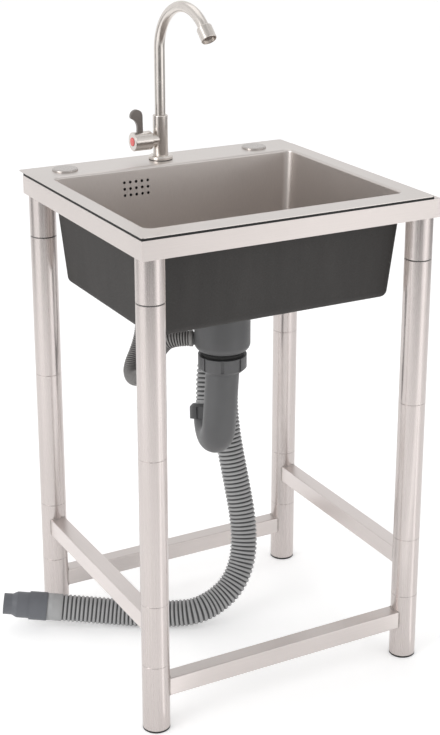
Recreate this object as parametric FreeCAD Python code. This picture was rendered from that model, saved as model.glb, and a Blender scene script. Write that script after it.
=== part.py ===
import FreeCAD, Part
import math
import os

# Freestanding stainless steel sink: knock-down stand, sink, tap, drain and hoses.
# Millimetres, +Z up, +X to the right along the front, +Y to the back.
# The origin is on the floor, under the middle of the outer box without the hoses.

V = FreeCAD.Vector
ORIGIN = V(0, 0, 0)
UP = V(0, 0, 1)
RIGHT = V(1, 0, 0)
LEFT = V(-1, 0, 0)
BACK = V(0, 1, 0)
FULL_TURN = 360.0
HALF_TURN = 180.0
QUARTER_TURN = 90.0

# How far every cutting tool runs past the face that it leaves
CUT_OVERRUN = 2.0
# Two heights or radii closer than this count as the same edge
SAME_PLACE = 0.01

# Stand: apron frame
FRAME_WIDTH = 480.0
FRAME_DEPTH = 420.0
FRAME_HEIGHT = 750.0
APRON_HEIGHT = 28.0
APRON_SHEET = 1.2
APRON_FLANGE = 22.0
APRON_LIP = 10.0
APRON_LIP_LEG_GAP = 3.0

# Stand: legs, made of short tubes joined by sleeves
LEG_RADIUS = 20.4
LEG_WALL = 1.2
LEG_SETBACK = 1.3
LEG_EDGE = 0.5
BOTTOM_TUBE_TOP = 108.0
LOWER_TUBE_LENGTH = 98.0
SOCKET_DROP = 93.0
SPIGOT_REACH = 25.0
SPIGOT_WALL = 2.0
SPIGOT_CLEARANCE = 0.15
SPIGOT_COLLAR_HEIGHT = 1.4
SPIGOT_COLLAR_INSET = 0.8
FOOT_PAD_HEIGHT = 3.0
FOOT_PLUG_LENGTH = 20.0
FOOT_EDGE = 0.8
FOOT_BORE = 11.0

# Stand: rectangular rails between the legs
RAIL_HEIGHT = 28.0
RAIL_DEPTH = 25.0
RAIL_WALL = 1.2
RAIL_EDGE = 1.6
SIDE_RAIL_RISE = 60.0
CROSS_RAIL_RISE = 67.0

# Sink: deck, bowl and what covers them
DECK_SHORTFALL = 12.0
DECK_SIDE_RIM = 26.0
DECK_FRONT_RIM = 40.0
DECK_BACK_LEDGE = 74.0
DECK_SHEET = 1.0
DECK_CORNER = 4.0
GASKET_HEIGHT = 3.6
GASKET_WIDTH = 14.0
GASKET_INSET = 0.6
BOWL_LENGTH = 324.0
BOWL_DEPTH = 159.6
BOWL_TAPER = 13.5
BOWL_CORNER = 12.0
BOWL_FLOOR_BEND = 9.0
BOWL_SHEET = 1.0
RIM_BEND = 4.0
RIM_LIP = 6.0
COATING = 1.5
COATING_TOP_GAP = 12.0

# Holes along the back ledge
TAP_OFFSET_X = -7.0
HOLE_ROW_SETBACK = 35.0
HOLE_NOTCH_HALF = 18.0
COVER_OFFSET_X = -4.0
COVER_SPACING = 167.0
COVER_RADIUS = 20.0
COVER_HEIGHT = 3.2
COVER_EDGE = 2.2
COVER_PLUG_RADIUS = 15.6
COVER_PLUG_WALL = 1.4
COVER_PLUG_LENGTH = 9.0
COVER_HOLE_CLEARANCE = 0.3

# Overflow grid, elbow and hose
OVERFLOW_OFFSET_X = -70.0
OVERFLOW_DROP = 31.0
OVERFLOW_HOLE_RADIUS = 2.3
OVERFLOW_PITCH = 10.0
OVERFLOW_COLUMNS = 5
OVERFLOW_ROWS = 3
ELBOW_WIDTH = 62.0
ELBOW_HEIGHT = 42.0
ELBOW_DEPTH = 24.0
ELBOW_WALL = 2.2
ELBOW_CORNER = 8.0
ELBOW_SEAL = 2.4
ELBOW_SPIGOT_LENGTH = 30.0
ELBOW_WINDOW_GAP = 1.0
OVERFLOW_HOSE_RADIUS = 12.5
OVERFLOW_HOSE_WALL = 2.2
OVERFLOW_RIB_DEPTH = 1.1
OVERFLOW_RIB_PITCH = 3.4
HOSE_SPIGOT_CLEARANCE = 0.3
HOSE_SPIGOT_WALL = 1.8

# Tap body and its fixing
TAP_SEAL_RADIUS = 18.6
TAP_SEAL_HEIGHT = 1.0
TAP_FLANGE_RADIUS = 19.0
TAP_FLANGE_HEIGHT = 6.0
TAP_FLANGE_EDGE = 3.0
TAP_BODY_RADIUS = 12.0
TAP_BODY_HEIGHT = 71.0
TAP_BODY_EDGE = 1.6
TAP_BORE = 7.5
TAP_SHANK_RADIUS = 11.5
TAP_SHANK_DROP = 32.0
TAP_INLET_RADIUS = 10.45
TAP_INLET_LENGTH = 28.0
TAP_HOLE_CLEARANCE = 0.6
TAP_NUT_FLATS = 30.0
TAP_NUT_HEIGHT = 8.0
TAP_FIT = 0.15

# Tap valve, along its side branch
VALVE_HEIGHT = 32.0
VALVE_NECK_RADIUS = 10.5
VALVE_NECK_REACH = 17.5
CARTRIDGE_RADIUS = 6.0
CARTRIDGE_FIT = 0.1
CARTRIDGE_START = 8.0
CARTRIDGE_PROUD = 6.0
CARTRIDGE_FLOOR = 2.0
CARTRIDGE_PORT_RADIUS = 1.5
CARTRIDGE_PORT_OFFSET = 2.9
DISC_RADIUS = 5.3
DISC_THICKNESS = 2.6
DISC_GAP = 0.3
SPINDLE_RADIUS = 2.5
SPINDLE_FIT = 0.1
SPINDLE_PROUD = 19.0

# Tap handle
KNOB_RADIUS = 15.0
KNOB_LENGTH = 31.0
KNOB_NECK_GAP = 0.4
KNOB_CUP_RADIUS = 9.4
KNOB_CUP_DEPTH = 7.4
KNOB_EDGE = 1.2
CAP_RADIUS = 7.0
CAP_RECESS = 2.5
CAP_PROUD = 1.0
CAP_EDGE = 0.7
LEVER_FROM_KNOB_END = 13.0
LEVER_THICKNESS = 6.0
LEVER_RISE = 35.5
LEVER_STRAIGHT = 6.0
LEVER_LEAN = 6.2
LEVER_ROOT_WIDTH = 9.0
LEVER_TIP_RADIUS = 10.0
LEVER_TIP_SWEEP = 200.0

# Spout, its seals and its nozzle
SPOUT_RADIUS = 8.5
SPOUT_WALL = 1.5
SPOUT_RISE = 102.6
SPOUT_BEND_RADIUS = 73.0
SPOUT_BEND_ANGLE = 138.0
SPOUT_TAIL = 9.0
SPOUT_REST_TURN = 5.0
SPOUT_SEAT_GAP = 0.3
SPIGOT_PLUG_LENGTH = 14.0
SPIGOT_PLUG_FIT = 0.3
SPIGOT_PLUG_WALL = 2.6
SEAL_SECTION_RADIUS = 0.9
SEAL_GROOVE_HALF = 1.0
SEAL_CROWN_GAP = 0.2
SEAL_END_GAP = 4.0
AERATOR_RADIUS = 12.0
AERATOR_LENGTH = 22.0
AERATOR_GRIP = 8.0
AERATOR_WALL = 1.6
AERATOR_EDGE = 1.2
AERATOR_FIT = 0.3
SCREEN_THICKNESS = 1.2
SCREEN_SETBACK = 3.0
SCREEN_HOLE_RADIUS = 0.9
SCREEN_PITCH = 2.7

# Drain fitting through the bowl's floor
DRAIN_OFFSET_X = -4.5
SEAT_RADIUS = 58.0
SEAT_DROP = 3.0
DRAIN_HOLE_RADIUS = 46.0
FLANGE_LIP_RADIUS = 56.0
FLANGE_SHEET = 1.0
FLANGE_THROAT_GAP = 1.0
FLANGE_SHOULDER_DROP = 7.0
FLANGE_CUP_RADIUS = 39.5
FLANGE_CUP_DEPTH = 48.0
FLANGE_DRAIN_HOLE_RADIUS = 6.0
FLANGE_DRAIN_HOLES = 8
DRAIN_GASKET_RADIUS = 54.0
DRAIN_GASKET_HEIGHT = 2.0
DRAIN_GASKET_GAP = 0.5
BODY_COLLAR_HEIGHT = 4.0
BODY_RADIUS = 43.0
BODY_WALL = 2.8
BODY_HEIGHT = 92.0
BODY_BASE_BEND = 12.0
BODY_BASE = 3.0
BODY_FIT = 0.6
OUTLET_RADIUS = 30.0
OUTLET_BORE = 22.0
OUTLET_LENGTH = 24.0
BOSS_RADIUS = 6.0
BOSS_RIBS = 3
BOSS_RIB_THICKNESS = 3.0
BOSS_RIB_HEIGHT = 22.0
SCREW_RADIUS = 2.9
SCREW_FIT = 0.1
SCREW_LENGTH = 30.0
SCREW_HEAD_RADIUS = 5.5
SCREW_HEAD_HEIGHT = 3.2
SIDE_SPIGOT_RISE = 16.0
SIDE_SPIGOT_ANGLE = 147.0
SIDE_SPIGOT_LENGTH = 18.0

# Strainer basket that lifts out of the drain
BASKET_RIM_GAP = 0.8
BASKET_SHEET = 1.0
BASKET_CUP_GAP = 2.4
BASKET_DEPTH = 30.0
BASKET_TAPER = 3.0
BASKET_HOLE_RADIUS = 2.0
BASKET_FLOOR_RINGS = 2
BASKET_RING_PITCH = 9.0
BASKET_RING_HOLES = 8
BASKET_WALL_HOLES = 14
BASKET_WALL_ROWS = 2
BASKET_WALL_PITCH = 9.0
BASKET_POST_RADIUS = 3.0
BASKET_POST_PROUD = 8.0
BASKET_KNOB_RADIUS = 9.0
BASKET_KNOB_HEIGHT = 5.0
BASKET_KNOB_EDGE = 1.6
BASKET_SEAL_SECTION = 1.4
BASKET_SEAT_GAP = 0.3

# Trap and its nuts
TRAP_RADIUS = 26.0
TRAP_WALL = 2.8
TRAP_BEND_RADIUS = 31.5
TRAP_BEND_ANGLE = 160.0
TRAP_DROP = 97.0
TRAP_TURN = 75.0
TRAP_LEAN = 3.3
TRAP_LEAN_TURN = 151.6
TRAP_LEAN_RADIUS = 60.0
TRAP_LEAN_DROP = 14.0
TRAP_RISE = 16.0
TRAP_RIM_RADIUS = 29.6
TRAP_RIM_HEIGHT = 4.0
TRAP_OUTLET_RIM_RADIUS = 28.2
TRAP_OUTLET_RIM_HEIGHT = 8.0
NUT_RADIUS = 37.5
NUT_HEIGHT = 25.0
NUT_CLEARANCE = 0.4
NUT_LIP = 4.0
NUT_SEAT_GAP = 0.1
NUT_CHAMFER = 5.0
NUT_GRIPS = 8
NUT_FIRST_GRIP = 17.0
NUT_GRIP_HALF = 2.2
NUT_GRIP_DEPTH = 1.6
OUTLET_NUT_RADIUS = 32.0
OUTLET_NUT_HEIGHT = 24.0

# Main hose and its end adapter
HOSE_RADIUS = 22.0
HOSE_WALL = 3.4
HOSE_RIB_DEPTH = 1.8
HOSE_RIB_PITCH = 6.8
HOSE_CUFF_LENGTH = 44.0
HOSE_FIRST_RUN = 52.0
ADAPTER_RADIUS = 23.0
ADAPTER_BAND = 29.0
ADAPTER_STEP = 2.0
ADAPTER_SLEEVE = 20.0
ADAPTER_TAPER = 8.0
ADAPTER_TIP_LENGTH = 14.0
ADAPTER_TIP_RADIUS = 17.0
ADAPTER_WALL = 3.0

# Where along one rib its four circles stand: valley, crest, crest, valley
RIB_PLACE_SHARES = (0.0, 0.22, 0.58, 0.80)
# Least part of the shorter run that a bend takes up on each side of its point
BEND_RUN_SHARE = 0.45

# Heights and places that follow from the sizes above
DECK_WIDTH = FRAME_WIDTH - DECK_SHORTFALL
SINK_OFFSET_X = -DECK_SHORTFALL / 2
BOWL_WIDTH = DECK_WIDTH - 2 * DECK_SIDE_RIM
DECK_DEPTH = DECK_FRONT_RIM + BOWL_LENGTH + DECK_BACK_LEDGE
DECK_BACK_Y = DECK_DEPTH / 2
FRAME_FRONT_Y = -DECK_DEPTH / 2
FRAME_BACK_Y = FRAME_FRONT_Y + FRAME_DEPTH
FRAME_MID_Y = (FRAME_FRONT_Y + FRAME_BACK_Y) / 2
DECK_TOP = FRAME_HEIGHT + GASKET_HEIGHT + DECK_SHEET
DECK_UNDER = DECK_TOP - DECK_SHEET
LEG_BORE = LEG_RADIUS - LEG_WALL
LEG_INSET = LEG_RADIUS + LEG_SETBACK
LOWER_TUBE_TOP = BOTTOM_TUBE_TOP + LOWER_TUBE_LENGTH
UPPER_TUBE_TOP = FRAME_HEIGHT - SOCKET_DROP
MIDDLE_TUBE_TOP = (LOWER_TUBE_TOP + UPPER_TUBE_TOP) / 2
SIDE_RAIL_Z = BOTTOM_TUBE_TOP + SIDE_RAIL_RISE
BOWL_Y = FRAME_FRONT_Y + DECK_FRONT_RIM + BOWL_LENGTH / 2
BOWL_FLOOR = DECK_TOP - BOWL_DEPTH
BOWL_SLOPE = BOWL_TAPER / BOWL_DEPTH
HOLE_ROW_Y = DECK_BACK_Y - HOLE_ROW_SETBACK
TAP_X = SINK_OFFSET_X + TAP_OFFSET_X
COVER_MID_X = SINK_OFFSET_X + COVER_OFFSET_X
COVER_PLACES_X = (COVER_MID_X - COVER_SPACING, COVER_MID_X + COVER_SPACING)
COVER_HOLE_RADIUS = COVER_PLUG_RADIUS + COVER_HOLE_CLEARANCE
TAP_FOOT = DECK_TOP + TAP_SEAL_HEIGHT
TAP_BODY_TOP = DECK_TOP + TAP_BODY_HEIGHT
VALVE_Z = DECK_TOP + VALVE_HEIGHT
CARTRIDGE_END = VALVE_NECK_REACH + CARTRIDGE_PROUD
SPINDLE_END = VALVE_NECK_REACH + SPINDLE_PROUD
SEAT_FLOOR = BOWL_FLOOR - SEAT_DROP
SEAT_UNDER = SEAT_FLOOR - BOWL_SHEET
DRAIN_AT = V(SINK_OFFSET_X + DRAIN_OFFSET_X, BOWL_Y, 0)
BODY_TOP = SEAT_UNDER - DRAIN_GASKET_HEIGHT
BODY_BASE_Z = BODY_TOP - BODY_HEIGHT
OUTLET_END = BODY_BASE_Z - OUTLET_LENGTH
TRAP_CENTRE_Z = OUTLET_END - TRAP_DROP
TRAP_SIDE = V(math.cos(math.radians(TRAP_TURN)), math.sin(math.radians(TRAP_TURN)), 0)
TRAP_BEND_CENTRE = DRAIN_AT + TRAP_SIDE * TRAP_BEND_RADIUS + UP * TRAP_CENTRE_Z
TRAP_BEND_ROTATION = FreeCAD.Rotation(TRAP_SIDE.cross(UP), TRAP_BEND_ANGLE)
TRAP_BEND = FreeCAD.Placement(ORIGIN, TRAP_BEND_ROTATION, TRAP_BEND_CENTRE)
TRAP_LEAN_Z = OUTLET_END - TRAP_LEAN_DROP
TRAP_LEAN_SIDE = FreeCAD.Rotation(UP, TRAP_LEAN_TURN).multVec(RIGHT)
TRAP_LEAN_CENTRE = DRAIN_AT + TRAP_LEAN_SIDE * TRAP_LEAN_RADIUS + UP * TRAP_LEAN_Z
TRAP_LEAN_ROTATION = FreeCAD.Rotation(TRAP_LEAN_SIDE.cross(UP), TRAP_LEAN)
TRAP_LEANED = FreeCAD.Placement(ORIGIN, TRAP_LEAN_ROTATION, TRAP_LEAN_CENTRE)

LEG_CORNERS = {
    "front_left": V(-FRAME_WIDTH / 2 + LEG_INSET, FRAME_FRONT_Y + LEG_INSET, 0),
    "front_right": V(FRAME_WIDTH / 2 - LEG_INSET, FRAME_FRONT_Y + LEG_INSET, 0),
    "back_left": V(-FRAME_WIDTH / 2 + LEG_INSET, FRAME_BACK_Y - LEG_INSET, 0),
    "back_right": V(FRAME_WIDTH / 2 - LEG_INSET, FRAME_BACK_Y - LEG_INSET, 0),
}

# Route of the main hose past its straight start, chosen by hand: over, down to the floor and out to the left
MAIN_HOSE_PLACES = (
    (24.5, 72.0), (41.5, 87.5), (59.5, 104.0), (70.0, 115.0), (66.5, 114.0), (61.5, 108.5),
    (61.0, 99.0), (64.0, 87.0), (67.5, 74.0), (69.5, 60.0), (65.5, 46.0), (53.4, 35.0), (31.0, 27.9),
    (0.8, 26.8), (-33.8, 28.4), (-63.2, 43.6), (-98.2, 63.7), (-140.5, 90.0), (-195.0, 118.0),
    (-250.0, 144.5),
)
# How far up each of those places is, from the lying hose to the drain's outlet
MAIN_HOSE_HEIGHT_SHARES = (
    0.9690, 1.0009, 0.9889, 0.9379, 0.8381, 0.7317, 0.6275, 0.5233, 0.4169, 0.3149, 0.2195, 0.1408,
    0.0754, 0.0333, 0.0122, 0.0035, 0.0013, 0.0035, 0.0188, 0.0333,
)
# Route of the overflow hose from the deck's top, by hand: down behind the bowl and up to the drain's side
OVERFLOW_HOSE_ROUTE = (
    (-76.0, 157.0, -70.6), (-76.0, 157.0, -118.6), (-72.0, 157.5, -166.6), (-66.0, 157.0, -214.6),
    (-62.5, 153.0, -258.6), (-75.0, 146.0, -294.6), (-97.0, 132.0, -320.6), (-104.0, 112.0, -330.6),
    (-103.0, 90.0, -325.6), (-99.5, 73.0, -310.6), (-94.5, 57.5, -288.6), (-88.5, 42.5, -262.6),
    (-76.8, 26.05, -241.6), (-48.24, 7.51, -241.6),
)


def save(name, *solids):
    """Write one node, as one solid or as a group of separate solids"""
    shape = solids[0] if len(solids) == 1 else Part.makeCompound(list(solids))
    shape.exportStep("parts/" + name + ".step")


def cylinder(radius, low, high, at=ORIGIN):
    """Upright cylinder between two heights"""
    return Part.makeCylinder(radius, high - low, V(at.x, at.y, low), UP)


def ring(radius, bore, low, high, at=ORIGIN):
    """Upright tube between two heights"""
    return cylinder(radius, low, high, at).cut(cylinder(bore, low - CUT_OVERRUN, high + CUT_OVERRUN, at))


def block(x0, x1, y0, y1, z0, z1):
    """Box between two corners"""
    return Part.makeBox(x1 - x0, y1 - y0, z1 - z0, V(x0, y0, z0))


def turned(profile, at=ORIGIN):
    """Solid of revolution about an upright axis, from (radius, height) points"""
    points = [V(at.x + radius, at.y, height) for radius, height in profile]
    face = Part.Face(Part.makePolygon(points + points[:1]))
    return face.revolve(V(at.x, at.y, 0), UP, FULL_TURN)


def disc_at(radius, at, turn):
    """Level disc whose seam stands at a turn about +Z, to be revolved into a bend"""
    circle = Part.makeCircle(radius)
    circle.Placement = FreeCAD.Placement(at, FreeCAD.Rotation(UP, turn))
    return Part.Face(Part.Wire(circle))


def aimed(shape, base, direction):
    """Copy of a shape made round +Z from the origin, turned to a direction and moved to its base"""
    copy = shape.copy()
    copy.Placement = FreeCAD.Placement(base, FreeCAD.Rotation(UP, direction))
    return copy


def level_edges(shape, height):
    """Edges that lie in one level plane"""
    found = []
    for edge in shape.Edges:
        box = edge.BoundBox
        if abs(box.ZMin - height) < SAME_PLACE and abs(box.ZMax - height) < SAME_PLACE:
            found.append(edge)
    return found


def round_edges(shape, height, radius, circle_radius=None):
    """Round the edges at one height, or only the circles of one radius there"""
    edges = level_edges(shape, height)
    if circle_radius is not None:
        edges = [e for e in edges if hasattr(e.Curve, "Radius")]
        edges = [e for e in edges if abs(e.Curve.Radius - circle_radius) < SAME_PLACE]
    return shape.makeFillet(radius, edges)


def rounded_rectangle(width, depth, corner, x, y, z):
    """Level closed wire of four lines and four quarter arcs, centred on x and y"""
    half_w = width / 2 - corner
    half_d = depth / 2 - corner
    diagonal = corner * math.sqrt(0.5)
    edges = []
    for quarter in range(4):
        turn = FreeCAD.Rotation(UP, QUARTER_TURN * quarter)
        near, far = (half_w, half_d) if quarter % 2 == 0 else (half_d, half_w)
        middle = V(near, far, 0)
        start = middle + V(corner, 0, 0)
        bend = middle + V(diagonal, diagonal, 0)
        end = middle + V(0, corner, 0)
        following = V(-near, far + corner, 0)
        place = [turn.multVec(p) + V(x, y, z) for p in (start, bend, end, following)]
        edges.append(Part.Arc(place[0], place[1], place[2]).toShape())
        edges.append(Part.LineSegment(place[2], place[3]).toShape())
    return Part.Wire(Part.__sortEdges__(edges))


def tube_length(radius, bore, low, high, edge, at):
    """Upright tube whose outer end edges are eased"""
    return turned([(bore, low), (radius - edge, low), (radius, low + edge), (radius, high - edge),
                   (radius - edge, high), (bore, high)], at)


def make_apron(length):
    """Folded channel along X with its outer face on y = 0 and mitred ends"""
    half = length / 2
    wall = block(-half, half, 0, APRON_SHEET, -APRON_HEIGHT, 0)
    flange = block(-half, half, 0, APRON_FLANGE, -APRON_SHEET, 0)
    lip_half = half - LEG_INSET - LEG_RADIUS - APRON_LIP_LEG_GAP
    lip = block(-lip_half, lip_half, 0, APRON_LIP, -APRON_HEIGHT, APRON_SHEET - APRON_HEIGHT)
    inner_half = half - APRON_FLANGE
    corners = [V(-half, 0, -APRON_HEIGHT), V(half, 0, -APRON_HEIGHT),
               V(inner_half, APRON_FLANGE, -APRON_HEIGHT), V(-inner_half, APRON_FLANGE, -APRON_HEIGHT)]
    mitre = Part.Face(Part.makePolygon(corners + corners[:1])).extrude(UP * APRON_HEIGHT)
    return wall.fuse([flange, lip]).removeSplitter().common(mitre)


def hole_notches(low, high):
    """Blocks that clear the back frame round the tap and the two covers"""
    front = FRAME_BACK_Y - APRON_FLANGE - CUT_OVERRUN
    back = FRAME_BACK_Y - APRON_SHEET
    notches = []
    for x in (TAP_X, *COVER_PLACES_X):
        notches.append(block(x - HOLE_NOTCH_HALF, x + HOLE_NOTCH_HALF, front, back, low, high))
    return notches


def build_aprons():
    places = {
        "apron_front": (FRAME_WIDTH, V(0, FRAME_FRONT_Y, FRAME_HEIGHT), 0),
        "apron_right": (FRAME_DEPTH, V(FRAME_WIDTH / 2, FRAME_MID_Y, FRAME_HEIGHT), QUARTER_TURN),
        "apron_back": (FRAME_WIDTH, V(0, FRAME_BACK_Y, FRAME_HEIGHT), HALF_TURN),
        "apron_left": (FRAME_DEPTH, V(-FRAME_WIDTH / 2, FRAME_MID_Y, FRAME_HEIGHT), -QUARTER_TURN),
    }
    for name, (length, base, turn) in places.items():
        apron = make_apron(length)
        apron.Placement = FreeCAD.Placement(base, FreeCAD.Rotation(UP, turn))
        if name == "apron_back":
            notch_low = FRAME_HEIGHT - APRON_HEIGHT - CUT_OVERRUN
            apron = apron.cut(hole_notches(notch_low, FRAME_HEIGHT + CUT_OVERRUN))
        save(name, apron)


def build_legs():
    spans = {
        "bottom": (FOOT_PAD_HEIGHT, BOTTOM_TUBE_TOP),
        "lower": (BOTTOM_TUBE_TOP, LOWER_TUBE_TOP),
        "middle": (LOWER_TUBE_TOP, MIDDLE_TUBE_TOP),
        "upper": (MIDDLE_TUBE_TOP, UPPER_TUBE_TOP),
    }
    sockets = []
    spigots = []
    feet = []
    sleeve_radius = LEG_BORE - SPIGOT_CLEARANCE
    sleeve_bore = sleeve_radius - SPIGOT_WALL
    collar_top = UPPER_TUBE_TOP + SPIGOT_COLLAR_HEIGHT
    for corner, at in LEG_CORNERS.items():
        for part, (low, high) in spans.items():
            tube = tube_length(LEG_RADIUS, LEG_BORE, low, high, LEG_EDGE, at)
            save("leg_" + part + "_tube_" + corner, tube)
            if part != "upper":
                low_end = high - SPIGOT_REACH
                spigots.append(ring(sleeve_radius, sleeve_bore, low_end, high + SPIGOT_REACH, at))
        collar_radius = LEG_RADIUS - SPIGOT_COLLAR_INSET
        spigots.append(turned([
            (sleeve_bore, UPPER_TUBE_TOP - SPIGOT_REACH), (sleeve_radius, UPPER_TUBE_TOP - SPIGOT_REACH),
            (sleeve_radius, UPPER_TUBE_TOP), (collar_radius, UPPER_TUBE_TOP), (collar_radius, collar_top),
            (sleeve_radius, collar_top), (sleeve_radius, collar_top + SPIGOT_REACH),
            (sleeve_bore, collar_top + SPIGOT_REACH)], at))
        socket_top = FRAME_HEIGHT - APRON_SHEET
        sockets.append(tube_length(LEG_RADIUS, LEG_BORE, collar_top, socket_top, LEG_EDGE, at))
        plug_radius = LEG_BORE - SPIGOT_CLEARANCE
        plug_top = FOOT_PAD_HEIGHT + FOOT_PLUG_LENGTH
        feet.append(turned([
            (0, 0), (LEG_RADIUS - FOOT_EDGE, 0), (LEG_RADIUS, FOOT_EDGE), (LEG_RADIUS, FOOT_PAD_HEIGHT),
            (plug_radius, FOOT_PAD_HEIGHT), (plug_radius, plug_top), (FOOT_BORE, plug_top),
            (FOOT_BORE, FOOT_PAD_HEIGHT), (0, FOOT_PAD_HEIGHT)], at))
    save("leg_sockets", *sockets)
    save("leg_spigots", *spigots)
    save("leg_feet", *feet)


def make_rail(start, end, height):
    """Rectangular tube from leg to leg, saddle-cut to both"""
    run = end - start
    length = run.Length
    outer = Part.makeBox(length, RAIL_DEPTH, RAIL_HEIGHT, V(0, -RAIL_DEPTH / 2, -RAIL_HEIGHT / 2))
    long_edges = [e for e in outer.Edges if abs(e.Length - length) < SAME_PLACE]
    outer = outer.makeFillet(RAIL_EDGE, long_edges)
    hollow_depth = RAIL_DEPTH - 2 * RAIL_WALL
    hollow_height = RAIL_HEIGHT - 2 * RAIL_WALL
    inner = Part.makeBox(length, hollow_depth, hollow_height, V(0, -hollow_depth / 2, -hollow_height / 2))
    rail = outer.cut(inner)
    rail.Placement = FreeCAD.Placement(V(start.x, start.y, height), FreeCAD.Rotation(RIGHT, run))
    legs = [cylinder(LEG_RADIUS, height - RAIL_HEIGHT, height + RAIL_HEIGHT, at) for at in (start, end)]
    return rail.cut(legs)


def build_rails():
    corner = LEG_CORNERS
    save("front_rail", make_rail(corner["front_left"], corner["front_right"], CROSS_RAIL_RISE))
    save("back_rail", make_rail(corner["back_left"], corner["back_right"], CROSS_RAIL_RISE))
    save("left_rail", make_rail(corner["front_left"], corner["back_left"], SIDE_RAIL_Z))
    save("right_rail", make_rail(corner["front_right"], corner["back_right"], SIDE_RAIL_Z))


def bowl_section(height, offset):
    """Outline of the tapered bowl at one height, moved outwards by an offset"""
    shrink = 2 * (offset - BOWL_SLOPE * (DECK_TOP - height))
    return rounded_rectangle(BOWL_WIDTH + shrink, BOWL_LENGTH + shrink, BOWL_CORNER + offset,
                             SINK_OFFSET_X, BOWL_Y, height)


def bowl_form(top, bottom, offset):
    """Closed tapered form of the bowl with a rounded floor edge"""
    form = Part.makeLoft([bowl_section(bottom, offset), bowl_section(top, offset)], True, True)
    return round_edges(form, bottom, BOWL_FLOOR_BEND + offset)


def overflow_wall_y(height):
    """Inner face of the bowl's back wall at one height"""
    return BOWL_Y + BOWL_LENGTH / 2 - BOWL_SLOPE * (DECK_TOP - height)


def make_deck_plate():
    """Flat deck sheet with the bowl's opening bent down into a lip"""
    middle_y = (FRAME_FRONT_Y + DECK_BACK_Y) / 2
    outline = rounded_rectangle(DECK_WIDTH, DECK_DEPTH, DECK_CORNER, SINK_OFFSET_X, middle_y, DECK_UNDER)
    return Part.Face(outline).extrude(UP * DECK_SHEET)


def opening_edges(shape, height):
    """Edges of the bowl's opening at one height, without the deck's own outline"""
    half_width = BOWL_WIDTH / 2 + RIM_BEND
    half_length = BOWL_LENGTH / 2 + RIM_BEND
    found = []
    for edge in level_edges(shape, height):
        box = edge.BoundBox
        inside_x = box.XMin > SINK_OFFSET_X - half_width and box.XMax < SINK_OFFSET_X + half_width
        inside_y = box.YMin > BOWL_Y - half_length and box.YMax < BOWL_Y + half_length
        if inside_x and inside_y:
            found.append(edge)
    return found


def build_sink():
    outer = bowl_form(DECK_UNDER, BOWL_FLOOR - BOWL_SHEET, BOWL_SHEET)
    seat_case = cylinder(SEAT_RADIUS + BOWL_SHEET, SEAT_UNDER, BOWL_FLOOR - BOWL_SHEET, DRAIN_AT)
    bowl_outside = outer.fuse(seat_case)
    inner = bowl_form(DECK_TOP, BOWL_FLOOR, 0)
    inside = inner.fuse(cylinder(SEAT_RADIUS, SEAT_FLOOR, BOWL_FLOOR + BOWL_FLOOR_BEND, DRAIN_AT))
    solid = make_deck_plate().fuse(bowl_outside).removeSplitter()
    solid = solid.makeFillet(RIM_BEND - DECK_SHEET, opening_edges(solid, DECK_UNDER))
    shell = solid.cut(inside)
    shell = shell.makeFillet(RIM_BEND, opening_edges(shell, DECK_TOP))
    holes = [cylinder(DRAIN_HOLE_RADIUS, SEAT_UNDER - CUT_OVERRUN, BOWL_FLOOR, DRAIN_AT)]
    deck_holes = [(x, COVER_HOLE_RADIUS) for x in COVER_PLACES_X]
    deck_holes.append((TAP_X, TAP_SHANK_RADIUS + TAP_HOLE_CLEARANCE))
    for x, radius in deck_holes:
        at = V(x, HOLE_ROW_Y, 0)
        holes.append(cylinder(radius, DECK_UNDER - CUT_OVERRUN, DECK_TOP + CUT_OVERRUN, at))
    for column in range(OVERFLOW_COLUMNS):
        for row in range(OVERFLOW_ROWS):
            x = SINK_OFFSET_X + OVERFLOW_OFFSET_X + (column - (OVERFLOW_COLUMNS - 1) / 2) * OVERFLOW_PITCH
            z = DECK_TOP - OVERFLOW_DROP + ((OVERFLOW_ROWS - 1) / 2 - row) * OVERFLOW_PITCH
            start = V(x, overflow_wall_y(z) - CUT_OVERRUN, z)
            holes.append(Part.makeCylinder(OVERFLOW_HOLE_RADIUS, BOWL_SHEET + 2 * CUT_OVERRUN, start, BACK))
    shell = shell.cut(holes)
    split = DECK_TOP - RIM_LIP
    reach = FRAME_WIDTH + FRAME_DEPTH
    above = block(-reach, reach, -reach, reach, split, DECK_TOP + CUT_OVERRUN)
    save("sink_deck", shell.common(above))
    save("sink_bowl", shell.cut(above))
    build_coating(outer)
    build_gasket()


def build_coating(bowl_outside):
    skin = bowl_form(DECK_UNDER - COATING_TOP_GAP, BOWL_FLOOR - BOWL_SHEET - COATING, BOWL_SHEET + COATING)
    skin = skin.cut(bowl_outside)
    drain_gap = cylinder(SEAT_RADIUS + BOWL_SHEET, SEAT_UNDER - CUT_OVERRUN, BOWL_FLOOR, DRAIN_AT)
    half_width = ELBOW_WIDTH / 2 + ELBOW_WINDOW_GAP
    half_height = ELBOW_HEIGHT / 2 + ELBOW_WINDOW_GAP
    x = SINK_OFFSET_X + OVERFLOW_OFFSET_X
    z = DECK_TOP - OVERFLOW_DROP
    window = block(x - half_width, x + half_width, BOWL_Y, DECK_BACK_Y, z - half_height, z + half_height)
    save("bowl_coating", skin.cut([drain_gap, window]))


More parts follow.
